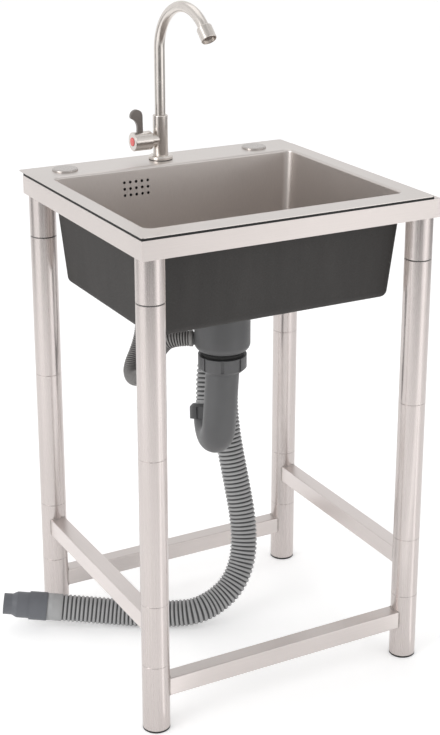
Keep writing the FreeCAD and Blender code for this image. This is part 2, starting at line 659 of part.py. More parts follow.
def build_gasket():
    left = SINK_OFFSET_X - DECK_WIDTH / 2 + GASKET_INSET
    right = SINK_OFFSET_X + DECK_WIDTH / 2 - GASKET_INSET
    front = FRAME_FRONT_Y + GASKET_INSET
    back = FRAME_BACK_Y - GASKET_INSET
    top = FRAME_HEIGHT + GASKET_HEIGHT
    strip = block(left, right, front, back, FRAME_HEIGHT, top)
    hollow = block(left + GASKET_WIDTH, right - GASKET_WIDTH, front + GASKET_WIDTH, back - GASKET_WIDTH,
                   FRAME_HEIGHT - CUT_OVERRUN, top + CUT_OVERRUN)
    save("rim_gasket", strip.cut([hollow] + hole_notches(FRAME_HEIGHT - CUT_OVERRUN, top + CUT_OVERRUN)))


def build_covers():
    covers = []
    for x in COVER_PLACES_X:
        at = V(x, HOLE_ROW_Y, 0)
        top = DECK_TOP + COVER_HEIGHT
        cap = round_edges(cylinder(COVER_RADIUS, DECK_TOP, top, at), top, COVER_EDGE)
        plug_bore = COVER_PLUG_RADIUS - COVER_PLUG_WALL
        plug = ring(COVER_PLUG_RADIUS, plug_bore, DECK_TOP - COVER_PLUG_LENGTH, DECK_TOP, at)
        covers.append(cap.fuse(plug))
    save("hole_covers", *covers)


def build_overflow_fitting():
    """Moulded box against the back wall, tilted with it, with an upright hose spigot below"""
    x = SINK_OFFSET_X + OVERFLOW_OFFSET_X
    z = DECK_TOP - OVERFLOW_DROP
    tilt = FreeCAD.Rotation(RIGHT, -math.degrees(math.atan(BOWL_SLOPE)))
    wall = V(x, overflow_wall_y(z), z) + tilt.multVec(BACK * BOWL_SHEET)
    place = FreeCAD.Placement(wall, tilt.multiply(FreeCAD.Rotation(RIGHT, -QUARTER_TURN)))

    def plate(width, height, corner, low, high):
        outline = rounded_rectangle(width, height, corner, 0, 0, low)
        return Part.Face(outline).extrude(UP * (high - low))

    rim = ELBOW_WALL * 2
    hollow_width = ELBOW_WIDTH - 2 * rim
    hollow_height = ELBOW_HEIGHT - 2 * rim
    hollow_corner = ELBOW_CORNER - ELBOW_WALL
    seal = plate(ELBOW_WIDTH, ELBOW_HEIGHT, ELBOW_CORNER, 0, ELBOW_SEAL)
    window_top = ELBOW_SEAL + CUT_OVERRUN
    seal = seal.cut(plate(hollow_width, hollow_height, hollow_corner, -CUT_OVERRUN, window_top))
    seal.Placement = place
    save("overflow_seal", seal)
    box = plate(ELBOW_WIDTH, ELBOW_HEIGHT, ELBOW_CORNER, ELBOW_SEAL, ELBOW_SEAL + ELBOW_DEPTH)
    box = round_edges(box, ELBOW_SEAL + ELBOW_DEPTH, ELBOW_WALL)
    hollow = plate(hollow_width, hollow_height, hollow_corner, 0, ELBOW_SEAL + ELBOW_DEPTH - ELBOW_WALL)
    box.Placement = place
    hollow.Placement = place
    hose_start = V(*OVERFLOW_HOSE_ROUTE[0]) + UP * DECK_TOP
    spigot_radius = OVERFLOW_HOSE_RADIUS - OVERFLOW_HOSE_WALL - HOSE_SPIGOT_CLEARANCE
    spigot_low = hose_start.z - ELBOW_SPIGOT_LENGTH / 2
    spigot_top = z - ELBOW_HEIGHT / 2 + ELBOW_WALL * 2
    stem = cylinder(spigot_radius, spigot_low, spigot_top, hose_start)
    collar = cylinder(OVERFLOW_HOSE_RADIUS, hose_start.z, spigot_top, hose_start)
    passage = cylinder(spigot_radius - HOSE_SPIGOT_WALL, spigot_low - CUT_OVERRUN, z, hose_start)
    elbow = box.fuse([stem, collar]).cut(hollow).cut(passage)
    save("overflow_elbow", elbow)


def build_tap():
    at = V(TAP_X, HOLE_ROW_Y, 0)
    save("tap_base_seal", ring(TAP_SEAL_RADIUS, TAP_SHANK_RADIUS + TAP_FIT, DECK_TOP, TAP_FOOT, at))
    flange = cylinder(TAP_FLANGE_RADIUS, TAP_FOOT, TAP_FOOT + TAP_FLANGE_HEIGHT, at)
    flange = round_edges(flange, TAP_FOOT + TAP_FLANGE_HEIGHT, TAP_FLANGE_EDGE)
    bore = cylinder(TAP_BODY_RADIUS + TAP_FIT, DECK_TOP, TAP_BODY_TOP, at)
    save("tap_base_flange", flange.cut(bore))
    column = round_edges(cylinder(TAP_BODY_RADIUS, TAP_FOOT, TAP_BODY_TOP, at), TAP_BODY_TOP, TAP_BODY_EDGE)
    shank_end = DECK_TOP - TAP_SHANK_DROP
    inlet_end = shank_end - TAP_INLET_LENGTH
    shank = cylinder(TAP_SHANK_RADIUS, shank_end, TAP_FOOT, at)
    inlet = cylinder(TAP_INLET_RADIUS, inlet_end, shank_end, at)
    valve_at = V(TAP_X, HOLE_ROW_Y, VALVE_Z)
    neck = Part.makeCylinder(VALVE_NECK_RADIUS, VALVE_NECK_REACH, valve_at, LEFT)
    water = cylinder(TAP_BORE, inlet_end - CUT_OVERRUN, TAP_BODY_TOP + CUT_OVERRUN, at)
    chamber_length = VALVE_NECK_REACH + CUT_OVERRUN
    chamber = Part.makeCylinder(CARTRIDGE_RADIUS + CARTRIDGE_FIT, chamber_length, valve_at, LEFT)
    save("tap_body", column.fuse([shank, inlet, neck]).cut([water, chamber]))
    nut = Part.Face(Part.makePolygon(hexagon(TAP_NUT_FLATS, DECK_UNDER - TAP_NUT_HEIGHT, at)))
    nut = nut.extrude(UP * TAP_NUT_HEIGHT)
    hole = cylinder(TAP_SHANK_RADIUS + TAP_FIT, shank_end, DECK_TOP, at)
    save("tap_mounting_nut", nut.cut(hole))
    build_valve(valve_at)
    build_handle(valve_at)
    build_spout(at)


def hexagon(flats, height, at):
    """Closed hexagon with two flats square to Y"""
    radius = flats / 2 / math.cos(math.radians(HALF_TURN / 6))
    points = []
    for side in range(6):
        angle = math.radians(side * FULL_TURN / 6)
        points.append(V(at.x + radius * math.cos(angle), at.y + radius * math.sin(angle), height))
    return points + points[:1]


def build_valve(valve_at):
    pocket_start = CARTRIDGE_START + CARTRIDGE_FLOOR
    disc_start = pocket_start + DISC_GAP
    disc_end = disc_start + DISC_THICKNESS
    pocket_end = disc_end + DISC_GAP
    sleeve_bore = SPINDLE_RADIUS + SPINDLE_FIT
    pocket_radius = DISC_RADIUS + DISC_GAP
    sleeve = turned([
        (0, CARTRIDGE_START), (CARTRIDGE_RADIUS, CARTRIDGE_START), (CARTRIDGE_RADIUS, CARTRIDGE_END),
        (sleeve_bore, CARTRIDGE_END), (sleeve_bore, pocket_end), (pocket_radius, pocket_end),
        (pocket_radius, pocket_start), (0, pocket_start)])
    disc = cylinder(DISC_RADIUS, disc_start, disc_end)
    for side in (-1, 1):
        port = V(0, side * CARTRIDGE_PORT_OFFSET, 0)
        sleeve = sleeve.cut(cylinder(CARTRIDGE_PORT_RADIUS, 0, pocket_start + DISC_GAP, port))
        disc_port = V(side * CARTRIDGE_PORT_OFFSET, 0, 0)
        disc = disc.cut(cylinder(CARTRIDGE_PORT_RADIUS, 0, CARTRIDGE_END, disc_port))
    spindle = cylinder(SPINDLE_RADIUS, disc_end, SPINDLE_END)
    save("valve_cartridge", aimed(sleeve, valve_at, LEFT))
    save("valve_disc", aimed(disc, valve_at, LEFT))
    save("valve_spindle", aimed(spindle, valve_at, LEFT))


def build_handle(valve_at):
    start = VALVE_NECK_REACH + KNOB_NECK_GAP
    end = start + KNOB_LENGTH
    knob = round_edges(cylinder(KNOB_RADIUS, start, end), end, KNOB_EDGE)
    knob = round_edges(knob, start, KNOB_EDGE)
    cup = cylinder(KNOB_CUP_RADIUS, start - CUT_OVERRUN, start + KNOB_CUP_DEPTH)
    recess = cylinder(CAP_RADIUS, end - CAP_RECESS, end + CUT_OVERRUN)
    knob = knob.cut([cup, recess, cylinder(SPINDLE_RADIUS, start, SPINDLE_END)])
    save("handle_knob", aimed(knob, valve_at, LEFT))
    cap_end = end + CAP_PROUD
    cap = round_edges(cylinder(CAP_RADIUS, end - CAP_RECESS, cap_end), cap_end, CAP_EDGE)
    save("index_cap", aimed(cap, valve_at, LEFT))
    save("handle_lever", make_lever(valve_at, end - LEVER_FROM_KNOB_END))


def make_lever(valve_at, reach):
    """Flat paddle that rises from the knob, its round tip leaning outwards over a hollow edge"""
    knob_top = valve_at + V(-reach, 0, KNOB_RADIUS)
    root_half = LEVER_ROOT_WIDTH / 2
    tip_middle = knob_top + V(-LEVER_LEAN, 0, LEVER_RISE - LEVER_TIP_RADIUS)

    def on_circle(centre, radius, degrees):
        angle = math.radians(degrees)
        return centre + V(radius * math.cos(angle), 0, radius * math.sin(angle))

    low_right = knob_top + V(root_half, 0, -KNOB_RADIUS)
    low_left = knob_top + V(-root_half, 0, -KNOB_RADIUS)
    knee = knob_top + V(-root_half, 0, LEVER_STRAIGHT)
    tip = [on_circle(tip_middle, LEVER_TIP_RADIUS, LEVER_TIP_SWEEP * step / 2) for step in range(3)]
    across = knee.x - tip[2].x
    rise = tip[2].z - knee.z
    hollow_radius = (across ** 2 + rise ** 2) / (2 * across)
    hollow_sweep = math.degrees(math.asin(rise / hollow_radius))
    hollow_middle = on_circle(knee - RIGHT * hollow_radius, hollow_radius, hollow_sweep / 2)
    edges = [
        Part.LineSegment(low_right, tip[0]).toShape(),
        Part.Arc(*tip).toShape(),
        Part.Arc(tip[2], hollow_middle, knee).toShape(),
        Part.LineSegment(knee, low_left).toShape(),
        Part.LineSegment(low_left, low_right).toShape(),
    ]
    paddle = Part.Face(Part.Wire(edges))
    paddle.translate(BACK * (-LEVER_THICKNESS / 2))
    paddle = paddle.extrude(BACK * LEVER_THICKNESS)
    knob_start = valve_at + RIGHT * (KNOB_LENGTH - reach)
    return paddle.cut(Part.makeCylinder(KNOB_RADIUS, 2 * KNOB_LENGTH, knob_start, LEFT))


def build_spout(at):
    """Swan-neck tube with a plug in the body, made facing -Y and then turned to its rest angle"""
    seat = TAP_BODY_TOP + SPOUT_SEAT_GAP
    bend_z = seat + SPOUT_RISE
    bore = SPOUT_RADIUS - SPOUT_WALL
    plug_radius = TAP_BORE - SPIGOT_PLUG_FIT
    plug_bore = plug_radius - SPIGOT_PLUG_WALL
    plug_low = TAP_BODY_TOP - SPIGOT_PLUG_LENGTH
    bend_angle = math.radians(SPOUT_BEND_ANGLE)
    bend_centre = V(at.x, at.y - SPOUT_BEND_RADIUS, bend_z)

    end_back = SPOUT_BEND_RADIUS * (math.cos(bend_angle) - 1)
    bend_end = V(at.x, at.y + end_back, bend_z + SPOUT_BEND_RADIUS * math.sin(bend_angle))
    heading = V(0, -math.sin(bend_angle), math.cos(bend_angle))
    end = bend_end + heading * SPOUT_TAIL

    def swan(radius, low):
        straight = cylinder(radius, low, bend_z, at)
        bend = disc_at(radius, V(at.x, at.y, bend_z), QUARTER_TURN)
        bend = bend.revolve(bend_centre, RIGHT, SPOUT_BEND_ANGLE)
        return straight.fuse([bend, Part.makeCylinder(radius, SPOUT_TAIL, bend_end, heading)])

    tube = swan(SPOUT_RADIUS, seat).fuse(cylinder(plug_radius, plug_low, seat, at))
    water = cylinder(plug_bore, plug_low - CUT_OVERRUN, bend_z, at)
    tube = tube.cut(swan(bore, seat + SPOUT_WALL)).cut(water)
    seals = []
    ring_radius = TAP_BORE - SEAL_CROWN_GAP - SEAL_SECTION_RADIUS
    groove_bottom = ring_radius - SEAL_SECTION_RADIUS
    for height in (plug_low + SEAL_END_GAP, TAP_BODY_TOP - SEAL_END_GAP):
        groove = ring(TAP_BORE, groove_bottom, height - SEAL_GROOVE_HALF, height + SEAL_GROOVE_HALF, at)
        tube = tube.cut(groove)
        seals.append(Part.makeTorus(ring_radius, SEAL_SECTION_RADIUS, V(at.x, at.y, height), UP))
    turn = FreeCAD.Placement(ORIGIN, FreeCAD.Rotation(UP, SPOUT_REST_TURN), at)
    aerator = aimed(make_aerator(bore), end - heading * AERATOR_GRIP, heading)
    for shape in (tube, aerator):
        shape.Placement = turn.multiply(shape.Placement)
    save("spout_tube", tube)
    save("spout_seals", *seals)
    save("aerator", aerator)


def make_aerator(bore):
    """Sleeve over the spout's end with a perforated screen just inside its mouth"""
    sleeve = cylinder(AERATOR_RADIUS, 0, AERATOR_LENGTH)
    sleeve = round_edges(sleeve, 0, AERATOR_EDGE)
    sleeve = round_edges(sleeve, AERATOR_LENGTH, AERATOR_EDGE)
    socket = cylinder(SPOUT_RADIUS + AERATOR_FIT, -CUT_OVERRUN, AERATOR_GRIP)
    screen_top = AERATOR_LENGTH - SCREEN_SETBACK
    screen_low = screen_top - SCREEN_THICKNESS
    mouth_radius = AERATOR_RADIUS - AERATOR_WALL
    chamber = cylinder(bore, AERATOR_GRIP - CUT_OVERRUN, screen_low)
    mouth = cylinder(mouth_radius, screen_top, AERATOR_LENGTH + CUT_OVERRUN)
    hole = cylinder(SCREEN_HOLE_RADIUS, screen_low - CUT_OVERRUN, screen_top + CUT_OVERRUN)
    holes = [hole]
    for ring_number in (1, 2):
        count = 6 * ring_number
        for step in range(count):
            angle = 2 * math.pi * step / count
            spot = V(math.cos(angle), math.sin(angle), 0) * (SCREEN_PITCH * ring_number)
            holes.append(hole.translated(spot))
    return sleeve.cut([socket, chamber, mouth] + holes)


def build_drain():
    at = DRAIN_AT
    lip_top = SEAT_FLOOR + FLANGE_SHEET
    throat = DRAIN_HOLE_RADIUS - FLANGE_THROAT_GAP
    shoulder_top = lip_top - FLANGE_SHOULDER_DROP
    shoulder_low = shoulder_top - FLANGE_SHEET
    cup_low = shoulder_top - FLANGE_CUP_DEPTH
    cup_floor = cup_low + FLANGE_SHEET
    cup_bore = FLANGE_CUP_RADIUS - FLANGE_SHEET
    throat_bore = throat - FLANGE_SHEET
    screw_hole = SCREW_RADIUS + SCREW_FIT
    flange = turned([
        (screw_hole, cup_low), (FLANGE_CUP_RADIUS, cup_low), (FLANGE_CUP_RADIUS, shoulder_low),
        (throat, shoulder_low), (throat, SEAT_FLOOR), (FLANGE_LIP_RADIUS, SEAT_FLOOR),
        (FLANGE_LIP_RADIUS, lip_top), (throat_bore, lip_top), (throat_bore, shoulder_top),
        (cup_bore, shoulder_top), (cup_bore, cup_floor), (screw_hole, cup_floor)], at)
    hole_circle = (cup_bore + SCREW_HEAD_RADIUS) / 2
    for step in range(FLANGE_DRAIN_HOLES):
        angle = 2 * math.pi * step / FLANGE_DRAIN_HOLES
        spot = at + V(math.cos(angle), math.sin(angle), 0) * hole_circle
        hole = cylinder(FLANGE_DRAIN_HOLE_RADIUS, cup_low - CUT_OVERRUN, cup_low + 2 * CUT_OVERRUN, spot)
        flange = flange.cut(hole)
    save("drain_flange", flange)
    gasket_bore = DRAIN_HOLE_RADIUS + DRAIN_GASKET_GAP
    save("drain_gasket", ring(DRAIN_GASKET_RADIUS, gasket_bore, BODY_TOP, SEAT_UNDER, at))
    save("drain_body", make_drain_body(shoulder_low, cup_low))
    head_top = cup_floor + SCREW_HEAD_HEIGHT
    tip = cup_floor - SCREW_LENGTH
    screw = turned([(0, tip), (SCREW_RADIUS, tip), (SCREW_RADIUS, cup_floor), (SCREW_HEAD_RADIUS, cup_floor),
                    (SCREW_HEAD_RADIUS, head_top), (0, head_top)], at)
    save("drain_screw", screw)
    build_strainer(shoulder_top, cup_bore, throat_bore)


def make_drain_body(shoulder_low, cup_low):
    """Moulded cup under the bowl: collar, outlet below, screw boss on ribs, and a side spigot"""
    at = DRAIN_AT
    collar_low = BODY_TOP - BODY_COLLAR_HEIGHT
    throat_bore = DRAIN_HOLE_RADIUS
    throat_low = shoulder_low - BODY_FIT
    cup_bore = BODY_RADIUS - BODY_WALL
    outside = cylinder(DRAIN_GASKET_RADIUS, collar_low, BODY_TOP, at)
    throat_case = cylinder(throat_bore + BODY_WALL, throat_low - BODY_WALL, BODY_TOP, at)
    cup = round_edges(cylinder(BODY_RADIUS, BODY_BASE_Z, BODY_TOP, at), BODY_BASE_Z, BODY_BASE_BEND)
    outlet = cylinder(OUTLET_RADIUS, OUTLET_END, BODY_BASE_Z + BODY_BASE, at)
    angle = math.radians(SIDE_SPIGOT_ANGLE)
    side = V(math.cos(angle), math.sin(angle), 0)
    spigot_at = V(at.x, at.y, BODY_BASE_Z + SIDE_SPIGOT_RISE)
    spigot_radius = OVERFLOW_HOSE_RADIUS - OVERFLOW_HOSE_WALL - HOSE_SPIGOT_CLEARANCE
    spigot = Part.makeCylinder(spigot_radius, BODY_RADIUS + SIDE_SPIGOT_LENGTH, spigot_at, side)
    body = cup.fuse([outside, throat_case, outlet, spigot])
    hollow = cylinder(cup_bore, BODY_BASE_Z + BODY_BASE, BODY_TOP + CUT_OVERRUN, at)
    hollow = round_edges(hollow, BODY_BASE_Z + BODY_BASE, BODY_BASE_BEND - BODY_BASE)
    throat = cylinder(throat_bore, throat_low, BODY_TOP + CUT_OVERRUN, at)
    outlet_bore = cylinder(OUTLET_BORE, OUTLET_END - CUT_OVERRUN, BODY_TOP, at)
    passage_length = BODY_RADIUS + SIDE_SPIGOT_LENGTH + CUT_OVERRUN
    passage = Part.makeCylinder(spigot_radius - HOSE_SPIGOT_WALL, passage_length, spigot_at, side)
    body = body.cut([hollow, throat, outlet_bore, passage])
    rib_low = cup_low - BODY_WALL - BOSS_RIB_HEIGHT
    ribs = [cylinder(BOSS_RADIUS, rib_low, cup_low, at)]
    for step in range(BOSS_RIBS):
        rib = block(0, cup_bore + BODY_WALL / 2, -BOSS_RIB_THICKNESS / 2, BOSS_RIB_THICKNESS / 2, rib_low,
                    rib_low + BOSS_RIB_HEIGHT)
        rib.rotate(ORIGIN, UP, FULL_TURN * step / BOSS_RIBS)
        rib.translate(at)
        ribs.append(rib)
    screw_hole = cylinder(SCREW_RADIUS + SCREW_FIT, rib_low - CUT_OVERRUN, cup_low + CUT_OVERRUN, at)
    return body.fuse(ribs).cut(screw_hole)


def build_strainer(shoulder_top, cup_bore, throat):
    """Perforated basket with a lifting knob, and the ring that seals it on the drain's shoulder"""
    at = DRAIN_AT
    seal_radius = (cup_bore + throat) / 2
    rim_low = shoulder_top + BASKET_SEAT_GAP + 2 * BASKET_SEAL_SECTION
    rim_top = rim_low + BASKET_SHEET
    rim_radius = throat - BASKET_RIM_GAP
    top_radius = cup_bore - BASKET_CUP_GAP
    base_radius = top_radius - BASKET_TAPER
    base_low = rim_top - BASKET_DEPTH
    floor_top = base_low + BASKET_SHEET
    knob_low = rim_top + BASKET_POST_PROUD
    knob_top = knob_low + BASKET_KNOB_HEIGHT
    basket = turned([
        (0, base_low), (base_radius, base_low), (top_radius, rim_low), (rim_radius, rim_low),
        (rim_radius, rim_top), (top_radius - BASKET_SHEET, rim_top),
        (base_radius - BASKET_SHEET, floor_top), (BASKET_POST_RADIUS, floor_top),
        (BASKET_POST_RADIUS, knob_low), (0, knob_low)], at)
    floor_hole = cylinder(BASKET_HOLE_RADIUS, base_low - CUT_OVERRUN, base_low + 2 * CUT_OVERRUN, at)
    holes = []
    for ring_number in range(1, BASKET_FLOOR_RINGS + 1):
        count = BASKET_RING_HOLES * ring_number
        radius = BASKET_POST_RADIUS + BASKET_RING_PITCH * ring_number
        for step in range(count):
            angle = 2 * math.pi * step / count
            holes.append(floor_hole.translated(V(math.cos(angle), math.sin(angle), 0) * radius))
    for row in range(BASKET_WALL_ROWS):
        height = base_low + BASKET_WALL_PITCH * (row + 1)
        for step in range(BASKET_WALL_HOLES):
            angle = 2 * math.pi * (step + row / 2) / BASKET_WALL_HOLES
            side = V(math.cos(angle), math.sin(angle), 0)
            start = V(at.x, at.y, height) + side * (base_radius - 2 * BASKET_TAPER)
            holes.append(Part.makeCylinder(BASKET_HOLE_RADIUS, 4 * BASKET_TAPER, start, side))
    knob = cylinder(BASKET_KNOB_RADIUS, knob_low, knob_top, at)
    knob = round_edges(knob, knob_top, BASKET_KNOB_EDGE)
    save("strainer_basket", basket.cut(holes).fuse(knob))
    seal_height = rim_low - BASKET_SEAL_SECTION
    save("strainer_seal", Part.makeTorus(seal_radius, BASKET_SEAL_SECTION, V(at.x, at.y, seal_height), UP))


def make_nut(radius, height, thread_radius, pipe_radius):
    """Slip nut round +Z: a chamfered lip that closes in on the pipe below, and a threaded bore above it"""
    nut = turned([
        (pipe_radius, 0), (radius - NUT_CHAMFER, 0), (radius, NUT_CHAMFER), (radius, height),
        (thread_radius, height), (thread_radius, NUT_LIP), (pipe_radius, NUT_LIP)])
    grooves = []
    for step in range(NUT_GRIPS):
        groove = block(radius - NUT_GRIP_DEPTH, radius + CUT_OVERRUN, -NUT_GRIP_HALF, NUT_GRIP_HALF,
                       NUT_CHAMFER, height + CUT_OVERRUN)
        groove.rotate(ORIGIN, UP, NUT_FIRST_GRIP + FULL_TURN * step / NUT_GRIPS)
        grooves.append(groove)
    return nut.cut(grooves)


def trap_bend_end():
    """Where the trap's leaning bend ends, and which way it points there"""
    bend_end = TRAP_LEANED.multVec(TRAP_BEND.multVec(DRAIN_AT + UP * TRAP_CENTRE_Z))
    return bend_end, TRAP_LEAN_ROTATION.multVec(TRAP_BEND_ROTATION.multVec(UP * -1))


def trap_outlet():
    """Middle of the trap's outlet, where the hose starts, and the hose's first heading"""
    bend_end, heading = trap_bend_end()
    return bend_end + heading * TRAP_RISE, heading


def build_trap():
    """U-shaped trap that hangs a little askew, with a slip nut at each end"""
    rim_low = OUTLET_END - TRAP_RIM_HEIGHT
    inlet_nut = make_nut(NUT_RADIUS, NUT_HEIGHT, OUTLET_RADIUS + NUT_CLEARANCE, TRAP_RADIUS + NUT_CLEARANCE)
    save("trap_inlet_nut", aimed(inlet_nut, DRAIN_AT + UP * (rim_low - NUT_LIP - NUT_SEAT_GAP), UP))
    bend_end, heading = trap_bend_end()

    def trap_form(radius, top, rise):
        inlet = cylinder(radius, TRAP_LEAN_Z, top, DRAIN_AT)
        knuckle = disc_at(radius, DRAIN_AT + UP * TRAP_LEAN_Z, TRAP_LEAN_TURN)
        knuckle = knuckle.revolve(TRAP_LEAN_CENTRE, TRAP_LEAN_SIDE.cross(UP), TRAP_LEAN)
        leg = cylinder(radius, TRAP_CENTRE_Z, TRAP_LEAN_Z, DRAIN_AT)
        bend = disc_at(radius, DRAIN_AT + UP * TRAP_CENTRE_Z, TRAP_TURN)
        bend = bend.revolve(TRAP_BEND_CENTRE, TRAP_SIDE.cross(UP), TRAP_BEND_ANGLE)
        for piece in (leg, bend):
            piece.Placement = TRAP_LEANED.multiply(piece.Placement)
        outlet = Part.makeCylinder(radius, rise, bend_end, heading)
        return inlet.fuse([knuckle, leg, bend, outlet])

    seat_rise = TRAP_RISE - TRAP_OUTLET_RIM_HEIGHT
    seat_low = bend_end + heading * seat_rise
    inlet_rim = cylinder(TRAP_RIM_RADIUS, rim_low, OUTLET_END, DRAIN_AT)
    outlet_rim = Part.makeCylinder(TRAP_OUTLET_RIM_RADIUS, TRAP_OUTLET_RIM_HEIGHT, seat_low, heading)
    outside = trap_form(TRAP_RADIUS, OUTLET_END, TRAP_RISE).fuse([inlet_rim, outlet_rim])
    bore = trap_form(TRAP_RADIUS - TRAP_WALL, OUTLET_END + CUT_OVERRUN, seat_rise)
    seat_depth = TRAP_OUTLET_RIM_HEIGHT + CUT_OVERRUN
    hose_seat = Part.makeCylinder(HOSE_RADIUS - HOSE_WALL, seat_depth, seat_low, heading)
    save("trap_bend", outside.cut(bore).cut(hose_seat))
    outlet_nut = make_nut(OUTLET_NUT_RADIUS, OUTLET_NUT_HEIGHT, TRAP_OUTLET_RIM_RADIUS + NUT_CLEARANCE,
                          HOSE_RADIUS + NUT_CLEARANCE)
    nut_end = trap_outlet()[0] + heading * (NUT_LIP + NUT_SEAT_GAP)
    save("trap_outlet_nut", aimed(outlet_nut, nut_end, heading * -1))


def main_hose_corners():
    """Corners of the main hose's route: its straight start from the trap, then the places along its way"""
    start, heading = trap_outlet()
    corners = [start, start + heading * HOSE_FIRST_RUN]
    fall = OUTLET_END - HOSE_RADIUS
    for place, share in zip(MAIN_HOSE_PLACES, MAIN_HOSE_HEIGHT_SHARES):
        corners.append(V(*place, HOSE_RADIUS + fall * share))
    return corners


def route_edges(corners, name):
    """Straight runs joined by tangent arcs, each as large as its two runs allow"""
    edges = []
    start = corners[0]
    radii = []
    for before, corner, after in zip(corners, corners[1:], corners[2:]):
        into = (corner - before).normalize()
        out = (after - corner).normalize()
        turn = into.getAngle(out)
        reach = BEND_RUN_SHARE * min((corner - before).Length, (after - corner).Length)
        radius = reach / math.tan(turn / 2)
        radii.append(radius)
        first = corner - into * reach
        last = corner + out * reach
        inward = (out - into).normalize()
        middle = corner + inward * (radius / math.cos(turn / 2) - radius)
        edges.append(Part.LineSegment(start, first).toShape())
        edges.append(Part.Arc(first, middle, last).toShape())
        start = last
    edges.append(Part.LineSegment(start, corners[-1]).toShape())
    print(name, "bend radii:", ", ".join("%.0f" % r for r in radii))
    return edges


def along(edges, distance):
    """Point and direction at a distance along a chain of edges"""
    for edge in edges[:-1]:
        if distance <= edge.Length:
            break
        distance -= edge.Length
    else:
        edge = edges[-1]
    place = edge.getParameterByLength(min(distance, edge.Length))
    return edge.valueAt(place), edge.tangentAt(place)


def ribbed_hose(corners, radius, wall, rib_depth, pitch, cuff, name):
    """Ribbed hose: a ruled loft through four circles for each rib, with plain ends and a bore"""
    edges = route_edges(corners, name)
    length = sum(e.Length for e in edges)
    ribs = int((length - 2 * cuff) / pitch)
    step = (length - 2 * cuff) / ribs
    stations = [(0, radius)]
    for rib in range(ribs):
        for share, crest in zip(RIB_PLACE_SHARES, (False, True, True, False)):
            stations.append((cuff + step * (rib + share), radius if crest else radius - rib_depth))
    stations.append((length - cuff, radius - rib_depth))
    stations.append((length - cuff + step * RIB_PLACE_SHARES[1], radius))
    stations.append((length, radius))
    stations.insert(1, (cuff - step * RIB_PLACE_SHARES[1], radius))
    outside = []
    inside = []
    side = RIGHT
    for distance, circle_radius in stations:
        spot, heading = along(edges, distance)
        side = (side - heading * side.dot(heading)).normalize()
        across = heading.cross(side)
        matrix = FreeCAD.Matrix(side.x, across.x, heading.x, spot.x, side.y, across.y, heading.y, spot.y,
                                side.z, across.z, heading.z, spot.z, 0, 0, 0, 1)
        for ring_radius, rings in ((circle_radius, outside), (radius - wall, inside)):
            circle = Part.Wire(Part.makeCircle(ring_radius))
            circle.Placement = FreeCAD.Placement(matrix)
            rings.append(circle)
    walls = Part.makeLoft(outside, False, True).Faces + Part.makeLoft(inside, False, True).Faces
    ends = [Part.makeFace([outside[end], inside[end]], "Part::FaceMakerBullseye") for end in (0, -1)]
    shell = Part.Shell(walls + ends)
    shell.sewShape()
    hose = Part.makeSolid(shell)
    plain = math.pi * (radius ** 2 - (radius - wall) ** 2) * length
    print(name, "ribs", ribs, "length %.1f volume %.0f of plain tube %.0f" % (length, hose.Volume, plain))
    return hose


def build_hoses():
    corners = main_hose_corners()
    main = ribbed_hose(corners, HOSE_RADIUS, HOSE_WALL, HOSE_RIB_DEPTH, HOSE_RIB_PITCH,
                       HOSE_CUFF_LENGTH, "drain_hose")
    save("drain_hose", main)
    overflow_cuff = 2 * OVERFLOW_HOSE_RADIUS
    overflow_corners = [V(*point) + UP * DECK_TOP for point in OVERFLOW_HOSE_ROUTE]
    overflow = ribbed_hose(overflow_corners, OVERFLOW_HOSE_RADIUS, OVERFLOW_HOSE_WALL,
                           OVERFLOW_RIB_DEPTH, OVERFLOW_RIB_PITCH, overflow_cuff, "overflow_hose")
    save("overflow_hose", overflow)
    end = corners[-1]
    heading = (end - corners[-2]).normalize()
    sleeve_radius = ADAPTER_RADIUS - ADAPTER_STEP
    sleeve_end = ADAPTER_BAND + ADAPTER_SLEEVE
    root_bore = HOSE_RADIUS - HOSE_WALL
    tip_start = sleeve_end + ADAPTER_TAPER
    tip_end = tip_start + ADAPTER_TIP_LENGTH
    tip_bore = ADAPTER_TIP_RADIUS - ADAPTER_WALL
    adapter = turned([
        (root_bore, 0), (ADAPTER_RADIUS, 0), (ADAPTER_RADIUS, ADAPTER_BAND), (sleeve_radius, ADAPTER_BAND),
        (sleeve_radius, sleeve_end), (ADAPTER_TIP_RADIUS, tip_start), (ADAPTER_TIP_RADIUS, tip_end),
        (tip_bore, tip_end), (tip_bore, tip_start), (root_bore, sleeve_end)])
    save("hose_end_adapter", aimed(adapter, end, heading))


os.makedirs("parts", exist_ok=True)
build_aprons()
build_legs()
build_rails()
build_sink()
build_covers()
build_overflow_fitting()
build_tap()
build_drain()
build_trap()
build_hoses()
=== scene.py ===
import math
import bmesh
import bpy
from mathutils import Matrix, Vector


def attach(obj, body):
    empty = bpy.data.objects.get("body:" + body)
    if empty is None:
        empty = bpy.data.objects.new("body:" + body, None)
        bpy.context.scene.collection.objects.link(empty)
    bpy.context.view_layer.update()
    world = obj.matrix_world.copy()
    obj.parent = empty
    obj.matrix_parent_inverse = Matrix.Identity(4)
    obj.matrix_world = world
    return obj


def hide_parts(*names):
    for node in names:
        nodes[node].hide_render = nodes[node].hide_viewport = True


# Freestanding stainless steel sink: looks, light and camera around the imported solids.
# Metres, +Z up, +X to the right along the front, +Y to the back.

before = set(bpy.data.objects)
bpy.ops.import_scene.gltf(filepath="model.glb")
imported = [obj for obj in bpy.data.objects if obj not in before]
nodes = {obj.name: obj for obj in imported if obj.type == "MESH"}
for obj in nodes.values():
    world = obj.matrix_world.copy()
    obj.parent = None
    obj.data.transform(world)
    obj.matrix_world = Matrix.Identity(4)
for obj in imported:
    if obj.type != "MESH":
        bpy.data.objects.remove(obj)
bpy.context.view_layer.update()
STAND = "stand"
FULL_TURN = 2 * math.pi
FULL_TURN_DEGREES = 360
HALF_TURN_DEGREES = 180

